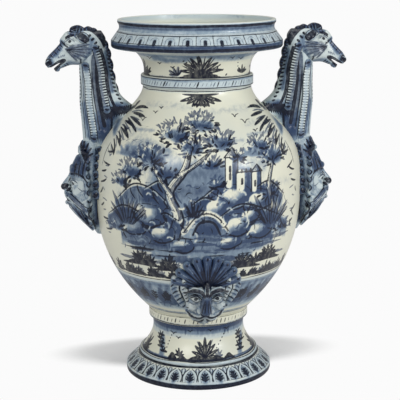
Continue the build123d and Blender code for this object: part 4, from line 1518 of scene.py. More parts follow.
NECK_STATIONS = [
    (-14, -50, 0.5, 15),
    (0, -50, 0.5, 16.5),
    (30, -52, 2, 17),
    (60, -49, 4, 17),
    (86, -45.5, 3.2, 17),
    (106, -43, 3.4, 17),
    (124, -39, 3.4, 17),
    (140, -33, 0, 15),
]
STRAPS = [
    [(159.5, 456), (156.4, 432), (156.2, 411), (153.8, 389), (150.5, 364), (149.6, 351)],
    [(145.4, 481), (141.0, 466), (137.4, 447), (136.6, 432), (133.8, 413.6), (130.4, 393)],
]


def handle_neck():
    """The arched necks of the horses, and the beaded straps on their faces."""
    clay = Clay((84, -23, 334), (174, 23, 496), 1.15)
    clay.loft((165, 0, 346), (0, 0, 1), (1, 0, 0), NECK_STATIONS)
    for y in (-5, 5):
        clay.rod([(128, y, 432), (120, y, 411), (108.5, y, 397), (95, y, 387)], [8.5, 8.5, 9, 9], 7)
        clay.rod([(116, y, 398), (106, y, 389), (100, y, 378)], [9, 10, 10], 6)
    straps = Clay((84, -23, 334), (174, 23, 496), 1.15)
    straps.field = clay.field.copy()
    clay.rods(
        both((148.4, 21.6, 470), (147.2, 21.4, 440), (143.8, 21.2, 404), (137, 21.4, 366)),
        [6.6, 8.0, 9.0, 8.0], 1.6, take=True
    )
    clay.keep_outside(3.5)

    x, z = straps.axes[0][:, None], straps.axes[2][None, :]
    best, place = np.full((len(straps.axes[0]), len(straps.axes[2])), 99.0), 0.0
    for line in STRAPS:
        line = flow(line)
        run = 0.0
        for p, q in zip(line[:-1], line[1:]):
            e = q - p
            t = np.clip(((x - p[0]) * e[0] + (z - p[1]) * e[1]) / (e @ e), 0, 1)
            gap = np.hypot(x - p[0] - t * e[0], z - p[1] - t * e[1]) - 5.4
            place = np.where(gap < best, run + t * np.hypot(*e), place)
            best = np.minimum(best, gap)
            run += np.hypot(*e)
    beads = 0.35 * np.cos(2 * math.pi * place / 4.0)
    y = straps.axes[1][None, :, None]
    grown = straps.field - (1.7 + beads)[:, None, :] * (np.abs(y) > 3)
    edge = best[:, None, :] + 0 * y
    straps.field = soft_max(grown, edge, 1.6).astype(np.float32)
    straps.field = np.maximum(straps.field, 4 - np.abs(y)).astype(np.float32)
    straps.field = np.maximum(straps.field, -(clay.field + 1.8)).astype(np.float32)
    straps.keep_outside(3.0)

    def draw_neck(paint, points):
        paint.cool += 0.75
        view = flat_view(paint, points)
        view.stroke([(148.6, 470), (147.4, 440), (144.2, 404), (137.5, 366)], 9, "mid", (0.4, 0.8), 0.8)
        view.wash([(162, 400), (160, 382), (156, 356)], 10, 0.5)
        view.lift([(167, 462), (167, 440), (166, 412)], 3.0, 0.8)
        view.wash([(150, 380), (140, 368), (136, 352)], 16, 0.75)
        view.wash([(132, 400), (126, 384)], 12, 0.8)
        view.stroke([(144.6, 462), (143.6, 436), (140.4, 404), (134.5, 370)], 5.4, "dark", (0.3, 1), 0.95)
        view.wash([(130, 474), (127, 446), (122, 420)], 6, 0.7)
        view.stroke([(150.5, 452), (149.6, 428), (147, 400), (141.5, 364)], 1.6, "dark", (0.3, 1), 0.8)
        view.stroke(
            [(165.2, 462), (163.6, 440), (163, 411), (161, 389), (158, 364), (156, 350)], 1.8, "mid",
            (0.5, 0.9), 0.8
        )
        view.stroke([(166.6, 440), (165.6, 411), (163.6, 389), (161.5, 352)], 1.1, "dark", (0.8, 0.8), 0.75)
        view.stroke(
            [(138, 482), (133.5, 465), (130, 447), (129, 432), (126, 414), (120, 399), (112, 388)], 4.2,
            "dark", (0.7, 1), 0.92
        )
        view.wash([(118, 392), (128, 376), (136, 360)], 13, 0.85)
        view.wash([(104, 396), (116, 398)], 10, 0.8)
        for k in range(16):
            z = 372 + k * 5.2
            view.stroke([(169.6 - 0.02 * (z - 372), z), (168.0, z + 1.4)], 1.9, "dark", (1, 1), 0.9)
        for k in range(13):
            z = 402 + k * 5.6
            x = np.interp(z, (402, 420, 445, 475), (108, 117.5, 122, 127))
            view.stroke([(x, z), (x + 3, z + 1.2)], 2.4, "dark", (1, 0.7), 0.95)
        for k in range(12):
            a = 96 + 3.2 * k
            view.stroke(
                [(a, 398 - 0.2 * k), (a + 4 + k * 0.3, 386 - 0.9 * k)], rng.uniform(2.2, 3.6), "dark",
                (0.8, 0.2), 0.9
            )
        for k in range(10):
            view.stroke(
                [(126 + 2.4 * k, 372 - k), (122 + 2.6 * k, 352 - k)], rng.uniform(1.6, 2.8), "mid",
                (0.6, 0.2), 0.9
            )
        view.stroke([(128, 402), (124, 380), (126, 352)], 3.2, "dark", (0.3, 0.6), 0.85)

    def draw_straps(paint, points):
        paint.cool += 0.55
        view = flat_view(paint, points, 0.7)
        for number, line in enumerate(STRAPS):
            smooth = flow(line)
            run, side = lengths(smooth), sides(smooth)
            for end, drop in ((line[0], 0), (line[-1], 1)):
                view.wash([end, (end[0] + 0.5, end[1] + 0.5 - drop)], 13, 0.8)
                view.stroke([(end[0] - 3, end[1]), (end[0] + 3, end[1] + 1)], 3.2, "dark", (0.4, 0.4), 0.85)
            for offset, power in ((-5.2, 0.95), (5.2, 0.8)):
                view.stroke(smooth + side * offset, 1.5, "dark", (1, 1), power)
            for k in range(int(run[-1] / 3.9)):
                place = 3.9 * (k + 0.5)
                centre, across = at(place, run, smooth), at(place, run, side)
                low_down = place / run[-1]
                if number == 0:
                    view.stroke(
                        [centre - across * 4.6, centre - across * 1.2], 1.3 + 0.5 * low_down, "dark",
                        (1, 0.5), 0.5 + 0.4 * low_down
                    )
                    view.stroke([centre + across * 4.4, centre + across * 2.4], 1.3, "dark", (1, 0.5), 0.8)
                    view.wash([centre - across * 1.0, centre + across * 2.0], 2.6, 0.22 + 0.3 * low_down)
                else:
                    view.stroke([centre + across * 0.6, centre + across * 4.6], 2.0, "dark", (1, 0.7), 0.95)
                    view.stroke([centre - across * 4.8, centre - across * 0.8], 3.4, "mid", (1, 0.9), 0.85)

    finish_clay(clay, "neck", "handle_neck", draw_neck, 0.35, 0.03, size=3)
    finish_clay(straps, "straps", "neck_straps", draw_straps, 0.25, 0.02)


HEAD_AT = np.array([150.0, 0.0, 496.0])
HEAD_DROOP = math.radians(32)
HEAD_ALONG = np.array([math.cos(HEAD_DROOP), 0, -math.sin(HEAD_DROOP)])
HEAD_UP = np.array([math.sin(HEAD_DROOP), 0, math.cos(HEAD_DROOP)])


def horse_head():
    """The heads with eyes, nostrils, open mouths and cheek tufts."""
    clay = Clay((128, -25, 440), (222, 25, 517), 1.05)
    stations = [
        (-16, -12, 0, 8),
        (-10, -22, 4, 12),
        (0, -30, 11.5, 16),
        (12, -31, 18.5, 17),
        (24, -29.5, 20.5, 17),
        (36, -24.5, 17.5, 15),
        (48, -17.5, 14.3, 12.5),
        (58, -15.2, 12.2, 10.8),
        (66, -13.5, 10.4, 10.5),
        (72, -8.5, 7.6, 8.5),
        (76.3, -3.5, 3.5, 4),
    ]
    clay.loft(HEAD_AT, HEAD_ALONG, HEAD_UP, stations, 3)
    clay.rods(both((158, 9, 476), (168, 10, 473), (180, 8, 470)), [10, 12, 9], 4)
    clay.rods(both((172, 11.5, 498), (182, 13, 498.5), (191, 9, 490.5)), [4.6, 4.8, 4.0], 3)
    clay.eggs(both((180.5, 17.0, 490.5)), (6.2, 4.2, 4.6), 2.0, take=True)
    clay.eggs(both((180.0, 13.6, 490.5)), (4.7, 4.4, 4.2), 0.8)
    clay.rods(both((173.5, 15.6, 489), (179, 17.6, 494.2), (186, 14.4, 490.5)), [1.2, 1.5, 1.2], 1.2)
    clay.rods(both((174.5, 15.8, 488), (180, 16.8, 486.2), (186, 13.8, 488.5)), [1.0, 1.2, 1.0], 1.2)
    clay.rods(both((190, 6.5, 487), (203, 7.5, 472), (208, 8, 464)), [3.0, 3.0, 3.6], 3.5)
    clay.eggs(both((210.5, 7.4, 459.5)), (5.8, 4.4, 5.0), 2.0)
    clay.eggs(both((211.8, 11.6, 459.0)), (3.5, 3.2, 2.5), 1.0, take=True)
    corners = [
        (191, 462.6), (198, 460), (206, 455.4), (214, 450.4), (209.5, 444.5), (204.4, 451.2), (197.5, 456.6)
    ]
    x, z = clay.axes[0][:, None], clay.axes[2][None, :]
    wedge = polygon_gap(corners, x, z)[:, None, :] + 0 * clay.axes[1][None, :, None]
    clay.merge((slice(None),) * 3, wedge, 1.4, take=True)
    clay.rod([(198.6, -5, 450.6), (200.2, 0, 450.0), (198.6, 5, 450.6)], 3.2, 1.6)
    clay.rods(both((189.5, 9.8, 463.6), (199, 9.6, 460.4), (208, 7.6, 455.2)), [1.0, 1.7, 1.6], 1.5)
    for k, (x, z) in enumerate(((156, 484), (154.5, 478.5), (156, 473), (160, 468.5), (165.5, 465.2))):
        start = 479.5 - k
        rails = both((184, 15.5, start), ((184 + x) / 2, 20.5, (start + z) / 2), (x, 18.5, z))
        clay.rods(rails, [1.0, 1.7, 1.2], 1.6)

    def draw(paint, points):
        paint.cool += 0.55
        view = flat_view(paint, points, 0.7)
        view.stroke([(186.8, 495.4), (182, 498.4), (175.5, 499.2)], 3.0, "dark", (0.4, 0.8))
        view.stroke([(173.6, 489.8), (179.5, 494.4), (186.8, 490.2)], 1.5, "mid", (0.3, 0.6), 0.95)
        for k in range(9):
            a = np.array([164 + 2.4 * k, 506.5 - 0.25 * k * k * 0.4])
            view.stroke(
                [a, a + np.array([1.5, -4.5]), a + np.array([4.5, -8.5])], rng.uniform(1.2, 1.9),
                "mid" if k % 2 else "dark", (0.8, 0.2), 0.85
            )
        view.wash([(166, 504), (178, 502)], 7, 0.7)
        view.stroke(
            [(178, 511), (160, 513), (147, 511), (137, 504), (129, 492), (125, 478)], 10, "dark", (0.5, 0.8),
            0.95
        )
        view.stroke(
            [(163, 508.5), (150, 505.5), (141, 499), (134.5, 490), (130, 478)], 5.5, "dark", (0.5, 0.8), 0.95
        )
        for x, z in (
            (152, 498.5), (147.5, 494), (143.5, 488.5), (140.5, 482.5), (138.5, 476.5), (137, 470.5),
            (136, 464.5)
        ):
            view.stroke([(x, z), (x + 2.6, z - 2.2)], 3.2, "dark", (1, 0.6), 0.95)
        view.stroke([(180.0, 491.2), (181.0, 490.2)], 3.4, "dark", (1, 1))
        view.stroke([(170, 494), (176, 500), (184, 502)], 2.2, "mid", (0.3, 0.3), 0.9)
        view.stroke([(192.6, 491.5), (188, 485.5), (183, 482)], 2.4, "dark", (0.4, 0.3), 0.95)
        view.stroke([(195.6, 487), (190.5, 481.5)], 2.0, "dark", (0.4, 0.3), 0.9)
        view.wash([(193, 488), (200, 479), (209, 469)], 8.5, 0.82)
        view.wash([(196, 480), (202, 472)], 8, 0.6)
        for k in range(6):
            view.stroke(
                [(197 + 2.4 * k, 484.5 - 2.6 * k), (191.5 + 2.4 * k, 478.5 - 2.2 * k)], 1.8,
                "dark" if k % 2 else "mid", (0.8, 0.2), 0.85
            )
        for end, width in (
            ((153.5, 486), 3.6), ((151.5, 480), 4.2), ((153.5, 474), 4.4), ((158, 468.6), 4.2),
            ((164.5, 464.8), 3.8), ((171, 463), 3.0)
        ):
            middle = ((186 + end[0]) / 2, (480 + end[1]) / 2 + 0.8)
            view.stroke([(187, 479.8), middle, end], width * 1.5, "mid", (0.3, 0.35), 1.0)
            view.stroke(
                [(187, 479.2), (middle[0], middle[1] - 1.2), end], width * 0.26, "dark", (0.2, 0.1), 0.8
            )
        view.stroke([(209.5, 460.6), (213.0, 458.4)], 6.6, "dark", (1, 1), 0.9)
        view.wash([(208, 461), (214, 457)], 7, 0.8)
        view.stroke([(206, 464.5), (212, 465.4), (217, 461)], 1.7, "dark", (0.3, 0.6), 0.9)
        view.stroke([(205.2, 462), (207.0, 456.5), (212, 453.6)], 1.6, "mid", (0.3, 0.6), 0.9)
        view.stroke([(188.5, 464.0), (197, 459.5), (206, 453.4)], 7.5, "dark", (0.5, 1.0))
        view.stroke([(196, 455.5), (201.5, 450.5), (205, 447.6)], 3.4, "dark", (0.5, 0.8), 0.95)
        view.wash([(196, 452), (200, 448)], 5.5, 0.7)
        for k in range(4):
            view.stroke(
                [(190 + 2.6 * k, 468.6 - 0.8 * k), (188 + 2.6 * k, 472.6 - 0.6 * k)], 1.4, "mid", (0.8, 0.3),
                0.85
            )
        for k in range(3):
            view.stroke(
                [(186 + 3 * k, 459.5 - 2.4 * k), (182.5 + 3 * k, 455.5 - 1.4 * k)], 1.6, "dark", (0.8, 0.3),
                0.85
            )
        view.wash([(170, 458), (182, 459), (190, 455)], 6.5, 0.55)
        view.stroke([(166, 466), (166, 458), (168.6, 451)], 2.6, "dark", (0.4, 0.5), 0.85)
        view.stroke([(168, 503), (176, 506)], 1.5, "mid", (0.6, 0.4), 0.8)
        view.wash([(150, 492), (152, 478), (158, 462)], 8, 0.6)
        for k in range(6):
            view.stroke(
                [(149 + 1.2 * k, 470 - 4.6 * k + 8), (143 + 1.5 * k, 466 - 4.4 * k + 8)], 2.2, "mid",
                (0.8, 0.3), 0.9
            )

    finish_clay(clay, "head", "horse_head", draw, 0.6, 0.0)


CREST = [
    (182, 503), (175, 512), (160, 509), (149, 509), (140, 502.5), (131, 492.5), (125.5, 480), (122.6, 465),
    (120.0, 448), (117.0, 431), (112.6, 414)
]
CREST_ROOT = [(128, 414), (136, 446), (141, 476), (155, 492), (175, 496)]


def mane():
    """The scalloped crests."""
    clay = Clay((106, -9, 406), (186, 9, 517), 1.0)
    rim = []
    for p, q in zip(CREST[:-1], CREST[1:]):
        p, q = np.array(p), np.array(q)
        e = q - p
        out = np.array([e[1], -e[0]]) / np.hypot(*e)
        for t in (0, 0.2, 0.4, 0.6, 0.8):
            rim.append(p + e * t + out * 4 * 2.3 * t * (1 - t))
    rim = rim + [np.array(CREST[-1])] + [np.array(p) for p in CREST_ROOT]
    x, z = clay.axes[0][:, None], clay.axes[2][None, :]
    flat = polygon_gap(rim, x, z)
    ripple = 0.55 * np.cos(2 * math.pi * (x * 0.35 + z) / 4.6)
    y = clay.axes[1][None, :, None]
    thick = np.abs(y) - (5.9 + ripple[:, None, :] + np.clip(flat, -8, 0)[:, None, :] * -0.06)
    edge = flat[:, None, :] + 0.7
    clay.field = soft_max(thick, edge, 4).astype(np.float32)
    clay.keep_outside(3)

    def draw(paint, points):
        paint.cool += 0.4
        view = flat_view(paint, points, 0.75)
        line = flow(CREST)
        run, side = lengths(line), -sides(line)
        view.wash(line - side, 8, 0.9)
        for k in range(int(run[-1] / 4.3)):
            place = 4.3 * (k + 0.5)
            centre, inward = at(place, run, line), at(place, run, side)
            if centre[1] > 494 or rng.uniform() < 0.5:
                view.stroke(
                    [centre - inward * 2, centre + inward * 8], rng.uniform(2.4, 3.4), "dark", (1, 0.3), 0.95
                )
            else:
                view.stroke([centre - inward * 1, centre + inward * 3.6], 2.8, "dark", (1, 0.6), 0.95)
                view.stroke([centre + inward * 6.2, centre + inward * 7.2], 2.4, "dark", (1, 1), 0.9)
        view.stroke([(127, 414), (134.5, 446), (139, 474), (146, 487)], 2.0, "dark", (0.6, 0.6), 0.9)

    finish_clay(clay, "crest", "mane", draw, 0.5, 0.5)


def ears():
    """The ears, laid back and hollow."""
    clay = Clay((146, -27, 480), (180, 27, 512), 0.8)
    tilted = ((0.8, 0, 0.6), (0, 1, 0), (-0.6, 0, 0.8))
    clay.eggs(both((161.5, 17.0, 495.5)), (8.8, 4.2, 7.8), 1.5, frame=tilted)
    clay.eggs(both((162.2, 21.0, 495.8)), (6.4, 3.4, 5.4), 1.0, take=True, frame=tilted)

    def draw(paint, points):
        paint.cool += 0.7
        view = flat_view(paint, points, 0.6)
        view.stroke([(158, 492.6), (162.4, 496), (166, 499)], 10.5, "dark", (0.9, 0.8))
        view.stroke([(159, 490.5), (164, 492.5)], 2.2, "mid", (0.5, 0.5), 0.9)
        view.stroke(
            [(153.8, 490), (155.5, 500.5), (163.5, 503.5), (169.5, 500)], 1.3, "dark", (0.5, 0.5), 0.85
        )

    finish_clay(clay, "ears", "ears", draw, 0.5, 0.3)


def side_mask():
    """The bearded masks under the handles."""
    clay = Clay((108, -46, 205), (204, 46, 352), 1.2)
    stations = [
        (-137, -34, -17, 5),
        (-128, -32, -11, 11),
        (-114, -30, -1, 19),
        (-100, -28, 10, 26),
        (-86, -27, 18, 31),
        (-70, -27, 19, 33),
        (-56, -27, 17, 34),
        (-40, -27, 15, 33),
        (-24, -27, 6, 29),
        (-10, -27, 2, 22),
        (2, -27, 0, 15),
    ]
    clay.loft((165, 0, 346), (0, 0, 1), (1, 0, 0), stations, 3)
    # Forelock.
    for x, y, z, r in ((166, 0, 346, 3.6), (165, 9, 344, 3.4), (162, 17, 338, 3.2), (158, 24, 330, 3.0)):
        for sign in ((-1, 1) if y else (1,)):
            clay.rod(
                [(167, sign * y * 0.35, 324), (169, sign * y * 0.75, 334), (x, sign * y, z)],
                [2.5, 4.2, r * 0.6], 1.5
            )
    # Forehead and brows.
    clay.rod([(172, 0, 322), (177, 0, 312), (180, 0, 303)], [5, 5, 5], 3)
    clay.rods(
        both((181.5, 3.5, 303), (181, 11, 306.5), (174, 21, 305), (164, 30, 298)), [4.6, 5.0, 4.2, 3.0], 1.6
    )
    clay.rods(both((176, 4, 313), (174, 13, 317), (166, 24, 314)), [2.4, 2.8, 2.2], 1.4)
    # Eyes.
    clay.eggs(both((184.5, 16, 289)), (5.5, 6.5, 5.5), 2.2, take=True)
    clay.eggs(both((178.0, 15.6, 288)), (4.8, 5.0, 4.6), 0.8)
    clay.rods(both((182, 9.5, 288), (183.0, 16, 293), (176.5, 23, 288)), [1.3, 1.7, 1.3], 1.0)
    clay.rods(both((182, 9.5, 286.5), (182.6, 16, 283), (176.5, 23, 286.5)), [1.2, 1.5, 1.2], 1.0)
    # Nose.
    clay.rod([(180, 0, 302), (184.5, 0, 293), (190.5, 0, 284)], [4.8, 5.0, 6.0], 2.5)
    clay.egg((193.0, 0, 280.4), (6.2, 7.4, 5.6), 1.5)
    clay.eggs(both((188.5, 6.6, 278.4)), (5.0, 4.4, 4.2), 1.5)
    # Cheeks.
    clay.eggs(both((175, 18.5, 276)), (7.5, 8.0, 8.0), 2.5)
    # Moustache and mouth.
    clay.rods(
        both((190.5, 2.5, 271.5), (187.5, 10, 269), (180, 18.5, 262), (170, 26, 254), (161, 31, 250)),
        [4.2, 5.0, 4.8, 4.0, 2.4], 1.4
    )
    clay.rods(
        both((190, 3, 267), (184.5, 9.5, 260), (175, 16, 250), (166, 22, 240)), [3.6, 4.2, 3.8, 2.2], 1.4
    )
    clay.egg((192, 0, 262.4), (6, 6.5, 3.0), 1.2, take=True)
    clay.rod([(188, -6, 257.6), (190.2, 0, 256.8), (188, 6, 257.6)], [2.6, 3.4, 2.6], 1.4)
    # Beard.
    for y, reach in ((0, 1.0), (6, 0.96), (12, 0.84)):
        for sign in ((-1, 1) if y else (1,)):
            root = (184 - 0.3 * y, sign * y * 0.7, 252)
            swell = (176 - 0.35 * y, sign * y * 1.15, 242 - 0.1 * y)
            taper = (166 - 0.3 * y, sign * y * 1.1, 230 + 4 * (1 - reach))
            tip = (154.5, sign * y * 0.45, 215 + 46 * (1 - reach))
            clay.rod([root, swell, taper, tip], [4.6, 4.8, 4.2, 2.0], 1.2)
    # Locks at the sides of the face.
    clay.rods(
        both((160, 33, 322), (163, 35.5, 308), (160, 37, 294), (162, 38, 281), (158, 36, 268)),
        [3.0, 3.6, 3.2, 3.6, 3.0], 1.5
    )
    clay.rods(both((163, 33, 262), (162, 34, 250), (155, 29, 238)), [3.4, 3.6, 2.2], 1.4)
    clay.rods(both((158, 27, 244), (157, 24, 232), (150, 16, 220)), [3.6, 3.4, 2.0], 1.4)
    clay.keep_outside(3)

    def draw(paint, points):
        paint.cool += 0.55
        view = flat_view(paint, points, 0.75)
        view.wash([(158, 326), (163, 338), (166, 344)], 9, 0.85)
        for end in ((168.5, 348), (163.5, 348), (158, 345), (154, 339), (152, 332)):
            view.stroke(
                [(164, 322), ((164 + end[0]) / 2 + 1.5, (322 + end[1]) / 2), end], 3.0, "dark", (0.5, 0.6),
                0.95
            )
        view.wash([(172, 322), (178, 312), (182, 302)], 9, 0.9)
        view.wash([(164, 316), (170, 304)], 9, 0.75)
        for k in range(7):
            view.stroke(
                [
                    (160 + 3.1 * k, 323 - 1.2 * k), (163 + 3.1 * k, 312 - 1.2 * k),
                    (164 + 3.0 * k, 301 - 0.6 * k)
                ],
                2.2, "dark" if k % 2 else "mid", (0.3, 0.3), 0.9
            )
        view.stroke([(184, 299), (178, 303), (168, 300), (161, 293)], 3.0, "dark", (0.6, 0.5), 0.95)
        view.lift([(186, 284), (180, 276), (172, 282), (170, 290)], 7, 0.95)
        view.lift([(183, 289), (176, 290)], 6, 0.95)
        view.stroke([(182.4, 288.4), (181.2, 287.6)], 3.0, "dark", (1, 1))
        view.stroke([(185.5, 287), (182.6, 293.0), (174, 289)], 1.4, "mid", (0.5, 0.6), 0.95)
        view.stroke([(176, 284), (168, 279), (163, 282)], 1.5, "mid", (0.3, 0.3), 0.9)
        view.stroke([(184, 296), (188, 288)], 2.2, "dark", (0.3, 0.3), 0.8)
        view.stroke([(189, 283.5), (197, 280.5)], 7.5, "dark", (0.5, 0.9), 0.9)
        view.stroke([(184.5, 280), (190, 276)], 4.5, "dark", (0.4, 0.7), 0.9)
        view.stroke([(191, 272), (184, 267.5), (174, 258), (163, 250)], 6.6, "mid", (0.5, 0.5), 1.0)
        view.stroke([(191, 269.4), (184, 264.2), (175, 254.5), (164, 246.5)], 2.2, "dark", (0.5, 0.5), 0.95)
        view.stroke([(186, 272.4), (178, 267), (168, 258.5), (160, 254.6)], 1.6, "dark", (0.5, 0.5), 0.9)
        view.stroke([(192.5, 264.0), (186, 261.5)], 3.4, "dark", (0.9, 0.4))
        view.stroke([(189.5, 257.6), (184, 256)], 3.2, "mid", (0.9, 0.4), 0.9)
        view.wash([(182, 250), (170, 236), (158, 220)], 9, 0.75)
        for k in range(6):
            view.stroke(
                [
                    (186 - 3.6 * k, 254 - 1.5 * k), (178 - 3.4 * k, 242 - 1.8 * k),
                    (165 - 2.2 * k, 228 - 2.4 * k)
                ],
                2.2, "dark" if k % 2 == 0 else "mid", (0.5, 0.3), 0.95
            )
        for z, r in (
            (322, 3.2), (312, 3.2), (301, 3.4), (290, 4), (278, 4.4), (266, 4.4), (252, 4), (240, 3.6),
            (229, 3.2)
        ):
            x = 152.5 + 0.02 * (z - 266)
            view.stroke(
                [(x + 6, z + r), (x + 9, z), (x + 5, z - r), (x + 3, z)], 1.9, "dark", (0.4, 0.4), 0.9
            )
            view.wash([(x + 5, z), (x + 7, z)], r + 2.5, 0.55)
        view.stroke([(167, 296), (164, 282), (166, 270)], 1.6, "mid", (0.4, 0.4), 0.9)
        view.wash([(147, 332), (147, 280), (148, 228)], 9, 0.85)
        view.stroke([(148, 338), (145.5, 300), (146, 262), (148.5, 226)], 2.6, "dark", (0.4, 0.4), 0.9)
        view.stroke([(154, 258), (160, 246), (154, 232), (150, 220)], 2.4, "dark", (0.4, 0.4), 0.9)
        view.lift([(168, 262), (160, 268), (156, 276)], 2.4, 0.8)
        view.lift([(186, 252), (176, 240), (166, 229)], 1.6, 0.8)
        view.lift([(189, 268), (180, 260), (170, 252)], 1.4, 0.8)

    finish_clay(clay, "mask", "side_mask", draw, 0.9, 0.26)


# Curls beside a mask: height, distance beside its middle plane, radius.
CURLS = ((338, 23, 4.3), (327, 27, 4.3), (316, 30.5, 4.7), (303, 33, 5.8), (289, 34.5, 6.8), (274, 34, 7.3))


def mask_curls():
    """The rows of round curls beside the masks."""
    clay = Clay((104, -54, 262), (164, 54, 352), 1.0)
    for z, aside, radius in CURLS:
        x = surface(z, aside) + 1
        clay.eggs(both((x, aside, z)), (radius, radius, radius), 0.8)
        clay.eggs(both((x + radius * 0.75, aside + radius * 0.35, z)), (radius * 0.38,) * 3, 0.8, take=True)
    clay.keep_outside(3)

    def draw(paint, points):
        paint.cool += 0.4
        view = flat_view(paint, points, 0.7)
        for z, aside, radius in CURLS:
            x = surface(z, aside) + 1
            view.wash([(x, z), (x + 0.3 * radius, z)], radius * 1.3, 0.8)
            middle = [(x + 0.2 * radius, z + 0.2 * radius), (x + 0.5 * radius, z - 0.2 * radius)]
            view.stroke(middle, radius * 0.75, "dark", (1, 1), 0.95)
            view.stroke(
                ring_points(x, z, 1.7 * radius, 1.7 * radius, 100, 300, count=6), 1.5, "dark", (0.5, 0.5), 0.9
            )

    finish_clay(clay, "curls", "mask_curls", draw, 0.6, 0.5)


def front(aside, z, relief):
    """A point on the front, out from the belly's surface at its own height."""
    return (aside, -surface(z, aside) - relief, z)


def pair(*places):
    """Points given as aside, height, relief, on both sides of the front's middle plane."""
    for sign in (-1, 1):
        yield [front(sign * a, z, relief) for a, z, relief in places]


